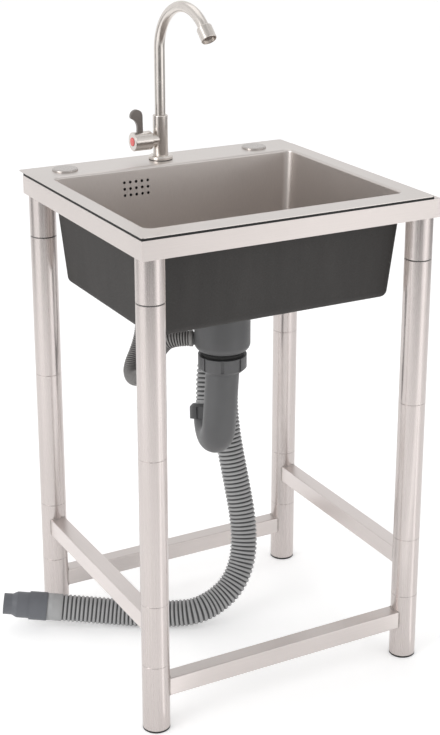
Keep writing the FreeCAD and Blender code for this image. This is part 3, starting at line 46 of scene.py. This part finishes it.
# Camera, solved from the legs, feet and apron corners of the photograph
PHOTO_HEIGHT = 735
FOCAL_PIXELS = 1538.1
AXIS_ROW = 300.0
SENSOR_MM = 36.0
CAMERA_YAW = math.radians(-28.4)
CAMERA_ELEVATION = math.radians(18.19)
CAMERA_PLACE = Vector((-1.0671, -1.9635, 1.3037))

# Hose routes, the same points as the solids follow
MAIN_HOSE_ROUTE = (
    (0.00268, 0.0495, 0.37783), (0.00976, 0.06533, 0.42685), (0.0245, 0.072, 0.45902),
    (0.0415, 0.0875, 0.47341), (0.0595, 0.104, 0.46799), (0.07, 0.115, 0.44499),
    (0.0665, 0.114, 0.39998), (0.0615, 0.1085, 0.352), (0.061, 0.099, 0.305), (0.064, 0.087, 0.25801),
    (0.0675, 0.074, 0.21002), (0.0695, 0.06, 0.16402), (0.0655, 0.046, 0.12099), (0.0534, 0.035, 0.0855),
    (0.031, 0.0279, 0.05601), (0.0008, 0.0268, 0.03702), (-0.0338, 0.0284, 0.0275),
    (-0.0632, 0.0436, 0.02358), (-0.0982, 0.0637, 0.02259), (-0.1405, 0.09, 0.02358),
    (-0.195, 0.118, 0.03048), (-0.25, 0.1445, 0.03702),
)
OVERFLOW_HOSE_ROUTE = (
    (-0.076, 0.157, 0.684), (-0.076, 0.157, 0.636), (-0.072, 0.1575, 0.588), (-0.066, 0.157, 0.54),
    (-0.0625, 0.153, 0.496), (-0.075, 0.146, 0.46), (-0.097, 0.132, 0.434), (-0.104, 0.112, 0.424),
    (-0.103, 0.09, 0.429), (-0.0995, 0.073, 0.444), (-0.0945, 0.0575, 0.466), (-0.0885, 0.0425, 0.492),
    (-0.0768, 0.02605, 0.513), (-0.04824, 0.00751, 0.513),
)
MAIN_HOSE_RADIUS = 0.022
MAIN_RIB_DEPTH = 0.0022
MAIN_RIB_PITCH = 0.0068
MAIN_CUFFS = (0.010, 0.026)
MAIN_SEGMENTS = 44
OVERFLOW_HOSE_RADIUS = 0.0125
OVERFLOW_RIB_DEPTH = 0.0014
OVERFLOW_RIB_PITCH = 0.0040
OVERFLOW_CUFFS = (0.008, 0.006)
OVERFLOW_SEGMENTS = 30
ROUTE_RESOLUTION = 24
# Rib outline from valley to crest and back: (place along the pitch, share of the rib's depth)
RIB_SHARES = ((0.00, 0.00), (0.07, 0.28), (0.14, 0.66), (0.23, 0.90), (0.34, 0.99), (0.46, 0.99),
              (0.57, 0.90), (0.66, 0.66), (0.73, 0.28), (0.80, 0.00))
# Places of the rings along the plain cuff at each end of a hose
FIRST_CUFF_SHARES = (0.0, 0.3, 0.6, 0.9)
LAST_CUFF_SHARES = (0.05, 0.3, 0.6, 1.0)

# Colours, linear
STEEL_COLOR = (0.575, 0.525, 0.507)
SINK_COLOR = (0.64, 0.60, 0.575)
# The apron's side colour is a lighter copy of its front and back colour: painted light on the left and right
# sides
APRON_COLOR = (0.56, 0.515, 0.496)
APRON_SIDE_LIT_COLOR = (0.70, 0.645, 0.62)
NICKEL_COLOR = (0.68, 0.637, 0.60)
# Far darker than the tap's nickel: a painted dark reflection on the lever
LEVER_DARK_REFLECTION_COLOR = (0.21, 0.19, 0.178)
# The side rails' colour is a lighter copy of the front and back rails' colour: painted light on the left and
# right rails
RAIL_COLOR = (0.625, 0.576, 0.556)
SIDE_RAIL_LIT_COLOR = (0.72, 0.665, 0.645)
# A darker copy of the sink's steel: painted shade on the hole covers
COVER_SHADED_COLOR = (0.47, 0.44, 0.42)
WELD_COLOR = (0.44, 0.405, 0.385)
SLEEVE_COLOR = (0.075, 0.073, 0.072)
BRASS_COLOR = (0.66, 0.47, 0.20)
CERAMIC_COLOR = (0.78, 0.76, 0.72)
DRAIN_COLOR = (0.084, 0.084, 0.086)
OUTLET_NUT_COLOR = (0.045, 0.045, 0.047)
# The valley colours are painted shade between the ribs of each hose
HOSE_VALLEY_SHADE_COLOR = (0.030, 0.031, 0.032)
HOSE_CREST_COLOR = (0.34, 0.34, 0.342)
# The overflow hose's colours are darker copies of the waste hose's: painted shade under the bowl
OVERFLOW_VALLEY_SHADE_COLOR = (0.012, 0.0115, 0.0115)
OVERFLOW_SHADED_CREST_COLOR = (0.24, 0.232, 0.226)
ADAPTER_COLOR = (0.115, 0.12, 0.133)
COATING_COLOR = (0.031, 0.0283, 0.0266)
RED_COLOR = (0.72, 0.11, 0.105)
BLACK_COLOR = (0.012, 0.012, 0.012)
FLOOR_COLOR = (0.93, 0.93, 0.93)
WHITE = (1.0, 1.0, 1.0, 1.0)

# Brush lines, grain and stains: noise frequencies per metre along X, Y and Z
SHEET_LINES_X = (14.0, 1700.0, 1700.0)
SHEET_LINES_Y = (1700.0, 14.0, 1700.0)
TUBE_LINES = (420.0, 420.0, 5.0)
DECK_LINES = (10.0, 1500.0, 1500.0)
BOWL_LINES = (1500.0, 1500.0, 12.0)
TURNED_LINES = (200.0, 200.0, 1500.0)
FINE_GRAIN = (300.0, 300.0, 300.0)
WELD_GRAIN = (500.0, 500.0, 500.0)
WELD_STAINS = (90.0, 90.0, 90.0)
STEEL_STAINS = (7.0, 7.0, 7.0)
SATIN_STAINS = (30.0, 30.0, 30.0)
PLASTIC_MOTTLE = (14.0, 14.0, 14.0)
COAT_STIPPLE = (700.0, 700.0, 700.0)
COAT_RUNS = (26.0, 26.0, 5.0)
HOSE_GRAIN = (260.0, 260.0, 260.0)

# How far noise changes a finish: shares of its colour and of its roughness
NOISE_END_SHARES = (0.3, 0.7)
STAIN_MIX_SHARE = 0.35
STEEL_TONE_SHARES = (0.93, 1.05)
STEEL_GLOSS_SHARES = (0.82, 1.2)
SATIN_TONE_SHARES = (0.97, 1.02)
SATIN_GLOSS_SHARES = (0.93, 1.07)
PLASTIC_GLOSS_SHARES = (0.85, 1.15)
COAT_TONE_SHARES = (0.88, 1.12)
HOSE_GLOSS_SHARES = (0.85, 1.2)
# Rib heights where a hose has its painted valley shade and its crest colour
RIB_SHADE_SHARES = (0.1, 0.85)
COAT_ROUGHNESS = 0.75
COAT_ROUGHNESS_ENDS = (0.62, 0.88)

# Depths of the bumps
BRUSH_DEPTH = 0.0002
GRAIN_DEPTH = 0.0003
STIPPLE_DEPTH = 0.0005


# Material helpers
def new_material(name, color, roughness, metallic=0.0):
    material = bpy.data.materials.new(name)
    material.use_nodes = True
    shader = material.node_tree.nodes["Principled BSDF"]
    shader.inputs["Base Color"].default_value = (*color, 1.0)
    shader.inputs["Roughness"].default_value = roughness
    shader.inputs["Metallic"].default_value = metallic
    return material, material.node_tree, shader


def add_node(tree, kind, inputs=None, **settings):
    node = tree.nodes.new(kind)
    for key, value in settings.items():
        setattr(node, key, value)
    for key, value in (inputs or {}).items():
        if isinstance(value, bpy.types.NodeSocket):
            tree.links.new(value, node.inputs[key])
        else:
            node.inputs[key].default_value = value
    return node


def noise_at(tree, frequency, detail=3.0, rough=0.55):
    """Noise in the part's own coordinates, with a frequency per metre along each axis"""
    place = add_node(tree, "ShaderNodeTexCoord").outputs["Object"]
    scaled = add_node(tree, "ShaderNodeMapping", {"Vector": place, "Scale": frequency}).outputs["Vector"]
    noise = add_node(tree, "ShaderNodeTexNoise",
                     {"Vector": scaled, "Scale": 1.0, "Detail": detail, "Roughness": rough})
    return noise.outputs["Fac"]


def spread(tree, value, low, high):
    """Map a noise value from its middle range to two limits"""
    first, last = NOISE_END_SHARES
    node = add_node(tree, "ShaderNodeMapRange",
                    {"Value": value, "From Min": first, "From Max": last, "To Min": low, "To Max": high})
    return node.outputs["Result"]


def tint(tree, value, dark, light, ends=NOISE_END_SHARES):
    """Blend two colours by a value, between the two ends of its range"""
    ramp = add_node(tree, "ShaderNodeValToRGB", {"Fac": value})
    for stop, place, color in zip(ramp.color_ramp.elements, ends, (dark, light)):
        stop.position = place
        stop.color = (*color, 1.0)
    return ramp.outputs["Color"]


def shade(color, factor):
    return tuple(channel * factor for channel in color)


def vary_tone(tree, shader, value, color, shares):
    """Let the colour change with a noise value, between two shares of it"""
    dark, light = shares
    tree.links.new(tint(tree, value, shade(color, dark), shade(color, light)), shader.inputs["Base Color"])


def vary_gloss(tree, shader, value, roughness, shares):
    """Let the roughness change with a noise value, between two shares of it"""
    low, high = shares
    tree.links.new(spread(tree, value, roughness * low, roughness * high), shader.inputs["Roughness"])


def add_bump(tree, shader, height, strength, distance):
    bump = add_node(tree, "ShaderNodeBump", {"Height": height, "Strength": strength, "Distance": distance})
    tree.links.new(bump.outputs["Normal"], shader.inputs["Normal"])


def steel(name, color, brush, roughness, stain=STEEL_STAINS, bump=0.10):
    """Satin steel: fine brush lines along one direction, and broad faint changes of tone"""
    material, tree, shader = new_material(name, color, roughness, metallic=1.0)
    lines = noise_at(tree, brush, detail=4.0, rough=0.6)
    clouds = noise_at(tree, stain, detail=2.0)
    mixed = add_node(tree, "ShaderNodeMix", {"Factor": STAIN_MIX_SHARE, "A": lines, "B": clouds})
    vary_tone(tree, shader, mixed.outputs["Result"], color, STEEL_TONE_SHARES)
    vary_gloss(tree, shader, lines, roughness, STEEL_GLOSS_SHARES)
    if bump > 0:
        add_bump(tree, shader, lines, bump, BRUSH_DEPTH)
    return material


def satin(name, color, roughness):
    """Smooth satin metal with broad, faint changes of gloss"""
    material, tree, shader = new_material(name, color, roughness, metallic=1.0)
    clouds = noise_at(tree, SATIN_STAINS, detail=1.0)
    vary_tone(tree, shader, clouds, color, SATIN_TONE_SHARES)
    vary_gloss(tree, shader, clouds, roughness, SATIN_GLOSS_SHARES)
    return material


def plastic(name, color, roughness, grain=420.0, bump=0.12, mottle=0.10):
    """Moulded plastic: fine surface grain and a soft mottle"""
    material, tree, shader = new_material(name, color, roughness)
    fine = noise_at(tree, (grain, grain, grain), detail=2.0)
    clouds = noise_at(tree, PLASTIC_MOTTLE)
    vary_tone(tree, shader, clouds, color, (1.0 - mottle, 1.0 + mottle))
    vary_gloss(tree, shader, fine, roughness, PLASTIC_GLOSS_SHARES)
    add_bump(tree, shader, fine, bump, GRAIN_DEPTH)
    return material


def coat(name, color, bump=0.35):
    """Sprayed sound-deadening coat: fine stipple, faint runs down the walls"""
    material, tree, shader = new_material(name, color, COAT_ROUGHNESS)
    stipple = noise_at(tree, COAT_STIPPLE, rough=0.7)
    runs = noise_at(tree, COAT_RUNS)
    vary_tone(tree, shader, runs, color, COAT_TONE_SHARES)
    tree.links.new(spread(tree, stipple, *COAT_ROUGHNESS_ENDS), shader.inputs["Roughness"])
    add_bump(tree, shader, stipple, bump, STIPPLE_DEPTH)
    return material


def ribbed_plastic_painted_shade(name, valley, crest, roughness, bump=0.10):
    """Hose plastic with painted shade: darker between the ribs, by the rib height"""
    material, tree, shader = new_material(name, crest, roughness)
    height = add_node(tree, "ShaderNodeAttribute", attribute_name="rib").outputs["Fac"]
    fine = noise_at(tree, HOSE_GRAIN)
    tree.links.new(tint(tree, height, valley, crest, RIB_SHADE_SHARES), shader.inputs["Base Color"])
    vary_gloss(tree, shader, fine, roughness, HOSE_GLOSS_SHARES)
    add_bump(tree, shader, fine, bump, GRAIN_DEPTH)
    return material


# Materials
tube_steel = steel("tube_steel", STEEL_COLOR, TUBE_LINES, roughness=0.27, bump=0.0)
sheet_steel_x = steel("sheet_steel_along_x", APRON_COLOR, SHEET_LINES_X, roughness=0.36)
# Lighter copy of the apron steel: painted light on the left and right aprons
sheet_steel_y_lit = steel("sheet_steel_along_y_painted_light", APRON_SIDE_LIT_COLOR, SHEET_LINES_Y, roughness=0.36)
rail_steel_x = steel("rail_steel_along_x", RAIL_COLOR, SHEET_LINES_X, roughness=0.36)
# Lighter copy of the rail steel: painted light on the left and right rails
rail_steel_y_lit = steel("rail_steel_along_y_painted_light", SIDE_RAIL_LIT_COLOR, SHEET_LINES_Y, roughness=0.36)
weld_steel = steel("weld_steel", WELD_COLOR, WELD_GRAIN, roughness=0.38, stain=WELD_STAINS)
deck_steel = steel("deck_steel", SINK_COLOR, DECK_LINES, roughness=0.34, bump=0.16)
bowl_steel = steel("bowl_steel", SINK_COLOR, BOWL_LINES, roughness=0.36, bump=0.14)
drain_steel = steel("drain_steel", SINK_COLOR, FINE_GRAIN, roughness=0.22)
# Painted shade: the hole covers' steel is darker than the deck's
cover_steel_shaded = steel("cover_steel_shaded", COVER_SHADED_COLOR, FINE_GRAIN, roughness=0.30)
brass = steel("turned_brass", BRASS_COLOR, TURNED_LINES, roughness=0.28)
nickel = satin("satin_nickel", NICKEL_COLOR, roughness=0.26)
# Painted dark reflection: the lever's metal is much darker than the tap's nickel
lever_metal_dark_reflection = satin("lever_metal_dark_reflection", LEVER_DARK_REFLECTION_COLOR, roughness=0.34)
drain_plastic = plastic("drain_plastic", DRAIN_COLOR, roughness=0.46)
nut_plastic = plastic("nut_plastic", OUTLET_NUT_COLOR, roughness=0.50)
adapter_plastic = plastic("adapter_plastic", ADAPTER_COLOR, roughness=0.50)
sleeve_plastic = plastic("sleeve_plastic", SLEEVE_COLOR, roughness=0.50)
black_plastic = plastic("black_plastic", BLACK_COLOR, roughness=0.60)
black_rubber = plastic("black_rubber", BLACK_COLOR, roughness=0.78, grain=900.0)
red_plastic = plastic("red_plastic", RED_COLOR, roughness=0.24, grain=200.0, bump=0.03, mottle=0.05)
ceramic = plastic("ground_ceramic", CERAMIC_COLOR, roughness=0.40)
coating = coat("bowl_coating", COATING_COLOR)
hose_plastic = ribbed_plastic_painted_shade("hose_plastic", HOSE_VALLEY_SHADE_COLOR, HOSE_CREST_COLOR, roughness=0.42)
# Darker copy of the hose plastic: painted shade on the overflow hose
overflow_plastic_shaded = ribbed_plastic_painted_shade("overflow_plastic_shaded", OVERFLOW_VALLEY_SHADE_COLOR, OVERFLOW_SHADED_CREST_COLOR,
                                  roughness=0.48)


# Materials on the solids that show as they are
def dress(material, *names):
    for name in names:
        mesh = nodes[name].data
        mesh.materials.clear()
        mesh.materials.append(material)


leg_nodes = [name for name in nodes if name.startswith("leg_") and "_tube_" in name]
dress(tube_steel, "leg_sockets", *leg_nodes)
dress(sheet_steel_x, "apron_front", "apron_back")
dress(sheet_steel_y_lit, "apron_left", "apron_right")
dress(rail_steel_x, "front_rail", "back_rail")
dress(rail_steel_y_lit, "left_rail", "right_rail")
dress(deck_steel, "sink_deck")
dress(cover_steel_shaded, "hole_covers")
dress(bowl_steel, "sink_bowl")
dress(drain_steel, "drain_flange", "strainer_basket", "drain_screw")
dress(nickel, "tap_base_flange", "tap_body", "handle_knob", "spout_tube", "aerator")
dress(lever_metal_dark_reflection, "handle_lever")
dress(brass, "tap_mounting_nut", "valve_cartridge", "valve_spindle")
dress(ceramic, "valve_disc")
dress(drain_plastic, "drain_body", "trap_inlet_nut", "trap_bend", "overflow_elbow")
dress(nut_plastic, "trap_outlet_nut")
dress(adapter_plastic, "hose_end_adapter")
dress(sleeve_plastic, "leg_spigots")
dress(black_plastic, "leg_feet")
dress(black_rubber, "rim_gasket", "drain_gasket", "tap_base_seal", "spout_seals", "strainer_seal",
      "overflow_seal")
dress(red_plastic, "index_cap")
dress(coating, "bowl_coating")

# Dark pieces whose mirror images are left out, because brushed tubes hardly show them
MATT_NODES = ("bowl_coating", "hose_end_adapter")
for name in MATT_NODES:
    nodes[name].visible_glossy = False


# Mesh helpers
def link_object(name, data):
    """New object in the scene for a mesh, curve, light or camera"""
    made = bpy.data.objects.new(name, data)
    bpy.context.scene.collection.objects.link(made)
    return made


def join_rings(form, rings, closed):
    """Faces between neighbouring rings, and from the last ring to the first where the loop is closed"""
    following_rings = rings[1:] + rings[:1] if closed else rings[1:]
    for low, high in zip(rings, following_rings):
        for k in range(len(low)):
            following = (k + 1) % len(low)
            form.faces.new((low[k], low[following], high[following], high[k]))


def smooth_mesh(form, name):
    """Turn a bmesh into a mesh with smooth faces"""
    for face in form.faces:
        face.smooth = True
    mesh = bpy.data.meshes.new(name)
    form.to_mesh(mesh)
    form.free()
    return mesh


# Hoses
def smooth_route(points, name):
    """Points along the NURBS spline that has the route's points as its control points"""
    curve = bpy.data.curves.new(name, "CURVE")
    curve.dimensions = "3D"
    spline = curve.splines.new("NURBS")
    spline.points.add(len(points) - 1)
    for point, place in zip(spline.points, points):
        point.co = (*place, 1.0)
    spline.order_u = 3
    spline.use_endpoint_u = True
    spline.resolution_u = ROUTE_RESOLUTION
    holder = link_object(name, curve)
    bpy.context.view_layer.update()
    line = bpy.data.meshes.new_from_object(holder)
    found = [vertex.co.copy() for vertex in line.vertices]
    bpy.data.objects.remove(holder)
    bpy.data.curves.remove(curve)
    bpy.data.meshes.remove(line)
    return found


def walk(points, distances):
    """Point and direction at each of some rising distances along a line of points"""
    found = []
    step = 0
    passed = 0.0
    for distance in distances:
        while step < len(points) - 2 and passed + (points[step + 1] - points[step]).length < distance:
            passed += (points[step + 1] - points[step]).length
            step += 1
        run = points[step + 1] - points[step]
        heading = run.normalized()
        found.append((points[step] + heading * (distance - passed), heading))
    return found


def line_length(points):
    return sum((b - a).length for a, b in zip(points, points[1:]))


def rib_stations(length, pitch, cuffs):
    """Distances along a hose, each with its share of the rib's height: a cuff, the ribs and a cuff"""
    first, last = cuffs
    ribs = round((length - first - last) / pitch)
    step = (length - first - last) / ribs
    stations = [(first * share, 1.0) for share in FIRST_CUFF_SHARES]
    for rib in range(ribs):
        for place, height in RIB_SHARES:
            stations.append((first + step * (rib + place), height))
    stations.append((length - last, 0.0))
    stations += [(length - last + last * share, 1.0) for share in LAST_CUFF_SHARES]
    return stations


def ribbed_tube(name, points, radius, depth, pitch, cuffs, segments):
    """Closed tube with rounded ribs between two plain cuffs, and its rib height as an attribute"""
    length = line_length(points)
    stations = rib_stations(length, pitch, cuffs)
    form = bmesh.new()
    rib_layer = form.verts.layers.float.new("rib")
    side = Vector((1, 0, 0))
    rings = []
    for (spot, heading), (_, height) in zip(walk(points, [d for d, _ in stations]), stations):
        side = (side - heading * side.dot(heading)).normalized()
        across = heading.cross(side)
        reach = radius - depth * (1.0 - height)
        ring = []
        for segment in range(segments):
            angle = FULL_TURN * segment / segments
            vertex = form.verts.new(spot + (side * math.cos(angle) + across * math.sin(angle)) * reach)
            vertex[rib_layer] = height
            ring.append(vertex)
        rings.append(ring)
    join_rings(form, rings, closed=False)
    form.faces.new(rings[0][::-1])
    form.faces.new(rings[-1])
    return link_object(name, smooth_mesh(form, name)), length


main_line = smooth_route(MAIN_HOSE_ROUTE, "main_hose_line")
main_hose, main_length = ribbed_tube("waste_hose", main_line, MAIN_HOSE_RADIUS, MAIN_RIB_DEPTH,
                                     MAIN_RIB_PITCH, MAIN_CUFFS, MAIN_SEGMENTS)
main_hose.data.materials.append(hose_plastic)
main_hose.visible_glossy = False
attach(main_hose, STAND)
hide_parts("drain_hose")

overflow_line = smooth_route(OVERFLOW_HOSE_ROUTE, "overflow_hose_line")
overflow_hose, overflow_length = ribbed_tube("overflow_pipe", overflow_line, OVERFLOW_HOSE_RADIUS,
                                             OVERFLOW_RIB_DEPTH, OVERFLOW_RIB_PITCH, OVERFLOW_CUFFS,
                                             OVERFLOW_SEGMENTS)
overflow_hose.data.materials.append(overflow_plastic_shaded)
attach(overflow_hose, STAND)
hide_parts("overflow_hose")


# Small pieces on the stand and the drain
LEG_RADIUS = 0.0204
LEG_CORNERS = {"front_left": (-0.2183, -0.1973), "front_right": (0.2183, -0.1973),
               "back_left": (-0.2183, 0.1793), "back_right": (0.2183, 0.1793)}
CROSS_RAIL_Z = 0.067
SIDE_RAIL_Z = 0.168
# From which leg each rail end starts, which way its rail runs, and how high it is
RAIL_ENDS = (("front_left", (1, 0, 0), CROSS_RAIL_Z), ("front_right", (-1, 0, 0), CROSS_RAIL_Z),
             ("back_left", (1, 0, 0), CROSS_RAIL_Z), ("back_right", (-1, 0, 0), CROSS_RAIL_Z),
             ("front_left", (0, 1, 0), SIDE_RAIL_Z), ("back_left", (0, -1, 0), SIDE_RAIL_Z),
             ("front_right", (0, 1, 0), SIDE_RAIL_Z), ("back_right", (0, -1, 0), SIDE_RAIL_Z))
RAIL_HALF_DEPTH = 0.0125
RAIL_HALF_HEIGHT = 0.014
WELD_RADIUS = 0.0013
WELD_RIPPLE_SHARE = 0.22
WELD_RIPPLES = 34
WELD_STEPS = 136
WELD_SEGMENTS = 8
WELD_CORNER_POWER = 0.28
DRAIN_PLACE = Vector((-0.0105, -0.017, 0))
WASHER_SEGMENTS = 64
# Outline of the black rubber washer over the trap's upper nut, a dark ring that paints the shade in the gap:
# (radius, height)
WASHER_OUTLINE = ((0.0302, 0.4904), (0.0328, 0.4904), (0.0336, 0.4912), (0.0336, 0.4956), (0.0328, 0.4964),
                  (0.0302, 0.4964))


def add_piece(form, name, material):
    """Turn a bmesh into a smooth piece that rides on the stand"""
    bmesh.ops.recalc_face_normals(form, faces=form.faces)
    piece = link_object(name, smooth_mesh(form, name))
    piece.data.materials.append(material)
    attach(piece, STAND)


def eased(value):
    """Push a sine towards its limits, so that a circle becomes a rectangle with soft corners"""
    return math.copysign(abs(value) ** WELD_CORNER_POWER, value)


def weld_place(corner, heading, height, turn):
    """Point on the leg's wall along the outline of the rail's end"""
    across = Vector((heading.y, -heading.x, 0))
    offset = RAIL_HALF_DEPTH * eased(math.cos(turn))
    rise = RAIL_HALF_HEIGHT * eased(math.sin(turn))
    reach = math.sqrt(LEG_RADIUS ** 2 - offset ** 2)
    return Vector((*LEG_CORNERS[corner], height + rise)) + heading * reach + across * offset


def make_welds():
    """Rippled beads round both ends of the four rails"""
    form = bmesh.new()
    for corner, heading, height in RAIL_ENDS:
        heading = Vector(heading)
        turns = [FULL_TURN * step / WELD_STEPS for step in range(WELD_STEPS)]
        places = [weld_place(corner, heading, height, turn) for turn in turns]
        rings = []
        for step, (place, turn) in enumerate(zip(places, turns)):
            along = (places[(step + 1) % WELD_STEPS] - places[step - 1]).normalized()
            out = (heading - along * heading.dot(along)).normalized()
            side = along.cross(out)
            radius = WELD_RADIUS * (1.0 + WELD_RIPPLE_SHARE * math.sin(WELD_RIPPLES * turn))
            ring = []
            for segment in range(WELD_SEGMENTS):
                angle = FULL_TURN * segment / WELD_SEGMENTS
                ring.append(form.verts.new(place + (out * math.cos(angle) + side * math.sin(angle)) * radius))
            rings.append(ring)
        join_rings(form, rings, closed=True)
    add_piece(form, "rail_welds", weld_steel)


def make_shade_washer():
    """Black rubber washer between the drain's cup and the trap's upper nut, put in as painted shade in the
    gap
    """
    form = bmesh.new()
    rings = []
    for segment in range(WASHER_SEGMENTS):
        angle = FULL_TURN * segment / WASHER_SEGMENTS
        side = Vector((math.cos(angle), math.sin(angle), 0))
        rings.append([form.verts.new(DRAIN_PLACE + side * radius + Vector((0, 0, height)))
                      for radius, height in WASHER_OUTLINE])
    join_rings(form, rings, closed=True)
    add_piece(form, "outlet_washer_painted_shade", black_rubber)


make_welds()
make_shade_washer()


# Camera
def make_camera():
    back = Vector((math.sin(CAMERA_YAW) * math.cos(CAMERA_ELEVATION),
                   -math.cos(CAMERA_YAW) * math.cos(CAMERA_ELEVATION), math.sin(CAMERA_ELEVATION)))
    data = bpy.data.cameras.new("photo_camera")
    data.sensor_width = SENSOR_MM
    data.lens = FOCAL_PIXELS * SENSOR_MM / PHOTO_HEIGHT
    data.shift_y = (AXIS_ROW - PHOTO_HEIGHT / 2) / PHOTO_HEIGHT
    camera = link_object("photo_camera", data)
    camera.location = CAMERA_PLACE
    camera.rotation_mode = "QUATERNION"
    camera.rotation_quaternion = (-back).to_track_quat("-Z", "Y")
    bpy.context.scene.camera = camera


# Floor, lights and the bright studio that the steel mirrors
FLOOR_HALF = 14.0
FLOOR_GLOW = 0.29
CARD_ROUGHNESS = 0.9
WORLD_STRENGTH = 1.0
# Brightness of the studio round the object: degrees about +Z from the front, and a value
WORLD_TURNS = ((-180, 1.0), (-110, 1.0), (-72, 0.95), (-50, 0.8), (-8, 0.8), (14, 1.0), (90, 0.95),
               (120, 0.9), (150, 1.0))
# How far the studio dims from this height share of the sky up to its top
SKY_DIM_SHARES = (0.40, 1.0)
SKY_TOP_VALUE = 0.65
# Dark flags round the stage, seen only in mirror images: degrees about +Z from the front, and a grey
FLAG_SPANS = ((-62, 6, 0.10), (-138, -110, 0.32), (60, 112, 0.32))
FLAG_DISTANCE = 2.4
FLAG_HEIGHT = 0.75
FLAG_STEP = 4
# Bright strips on the floor that give the front legs their light line: degrees from the front, and distances
STRIP_LEGS = ("front_left", "front_right")
STRIP_SPAN = (27, 37)
STRIP_REACH = (0.06, 2.4)
STRIP_LIFT = 0.0015
STRIP_GLOW = 1.9
# Lights: name, place, target, size and power
LIGHTS = (("key", (-2.7, -0.5, 1.7), (0, 0, 0.55), 1.6, 26.0),
          ("fill", (1.75, -2.6, 0.75), (0, 0, 0.4), 1.3, 5.0),
          ("top", (0.2, 0.6, 2.8), (0, 0, 0.7), 1.8, 7.0))


def stage_card(name, corners, faces, color, glow=0.0):
    """Flat or curved card of the stage, matt, with a glow of its own"""
    mesh = bpy.data.meshes.new(name)
    mesh.from_pydata(corners, [], faces)
    material, _, shader = new_material(name, color, CARD_ROUGHNESS)
    shader.inputs["Emission Color"].default_value = WHITE
    shader.inputs["Emission Strength"].default_value = glow
    mesh.materials.append(material)
    card = link_object(name, mesh)
    return card


def leave_to_reflections(card):
    """Show a stage card in mirror images alone"""
    card.visible_camera = False
    card.visible_diffuse = False
    card.visible_shadow = False


def make_floor():
    corners = [(-FLOOR_HALF, -FLOOR_HALF, 0), (FLOOR_HALF, -FLOOR_HALF, 0), (FLOOR_HALF, FLOOR_HALF, 0),
               (-FLOOR_HALF, FLOOR_HALF, 0)]
    stage_card("floor", corners, [(0, 1, 2, 3)], FLOOR_COLOR, FLOOR_GLOW)


def make_flag(name, first, last, grey):
    """Curved dark screen that stands on the floor"""
    corners = []
    faces = []
    for degrees in range(first, last + 1, FLAG_STEP):
        angle = math.radians(degrees)
        x = FLAG_DISTANCE * math.sin(angle)
        y = -FLAG_DISTANCE * math.cos(angle)
        corners += [(x, y, 0), (x, y, FLAG_HEIGHT)]
    for k in range(0, len(corners) - 2, 2):
        faces.append((k, k + 2, k + 3, k + 1))
    leave_to_reflections(stage_card(name, corners, faces, (grey, grey, grey)))


def make_strip(name, corner):
    """Bright wedge on the floor that starts at a leg"""
    x, y = LEG_CORNERS[corner]
    corners = []
    for degrees, reaches in zip(STRIP_SPAN, (STRIP_REACH, STRIP_REACH[::-1])):
        angle = math.radians(degrees)
        for reach in reaches:
            corners.append((x + reach * math.sin(angle), y - reach * math.cos(angle), STRIP_LIFT))
    leave_to_reflections(stage_card(name, corners, [(0, 1, 2, 3)], BLACK_COLOR, STRIP_GLOW))


def area_light(name, place, target, size, energy):
    data = bpy.data.lights.new(name, "AREA")
    data.size = size
    data.energy = energy
    light = link_object(name, data)
    light.location = place
    light.rotation_mode = "QUATERNION"
    light.rotation_quaternion = (Vector(target) - Vector(place)).to_track_quat("-Z", "Y")


def make_world():
    """White studio with a faint change of tone round the object"""
    world = bpy.data.worlds.new("studio")
    bpy.context.scene.world = world
    world.use_nodes = True
    tree = world.node_tree
    background = tree.nodes["Background"]
    direction = add_node(tree, "ShaderNodeTexCoord").outputs["Generated"]
    parts = add_node(tree, "ShaderNodeSeparateXYZ", {"Vector": direction})
    front = add_node(tree, "ShaderNodeMath", {0: parts.outputs["Y"], 1: -1.0}, operation="MULTIPLY")
    azimuth = add_node(tree, "ShaderNodeMath", {0: parts.outputs["X"], 1: front.outputs[0]},
                       operation="ARCTAN2")
    turn = add_node(tree, "ShaderNodeMapRange",
                    {"Value": azimuth.outputs[0], "From Min": -math.pi, "From Max": math.pi})
    ramp = add_node(tree, "ShaderNodeValToRGB", {"Fac": turn.outputs["Result"]})
    stops = ramp.color_ramp.elements
    while len(stops) > 1:
        stops.remove(stops[-1])
    for degrees, value in WORLD_TURNS:
        place = (degrees + HALF_TURN_DEGREES) / FULL_TURN_DEGREES
        stop = stops.new(place) if place > 0 else stops[0]
        stop.color = (value, value, value, 1.0)
    tree.links.new(ramp.outputs["Color"], background.inputs["Color"])
    dim = add_node(tree, "ShaderNodeMapRange",
                   {"Value": parts.outputs["Z"], "From Min": SKY_DIM_SHARES[0], "From Max": SKY_DIM_SHARES[1],
                    "To Min": WORLD_STRENGTH, "To Max": WORLD_STRENGTH * SKY_TOP_VALUE})
    tree.links.new(dim.outputs["Result"], background.inputs["Strength"])


make_camera()
make_floor()
make_world()
for number, (first, last, grey) in enumerate(FLAG_SPANS):
    make_flag("flag_%d" % number, first, last, grey)
for corner in STRIP_LEGS:
    make_strip("strip_" + corner, corner)
for light in LIGHTS:
    area_light(*light)
bpy.context.scene.view_settings.view_transform = "Standard"
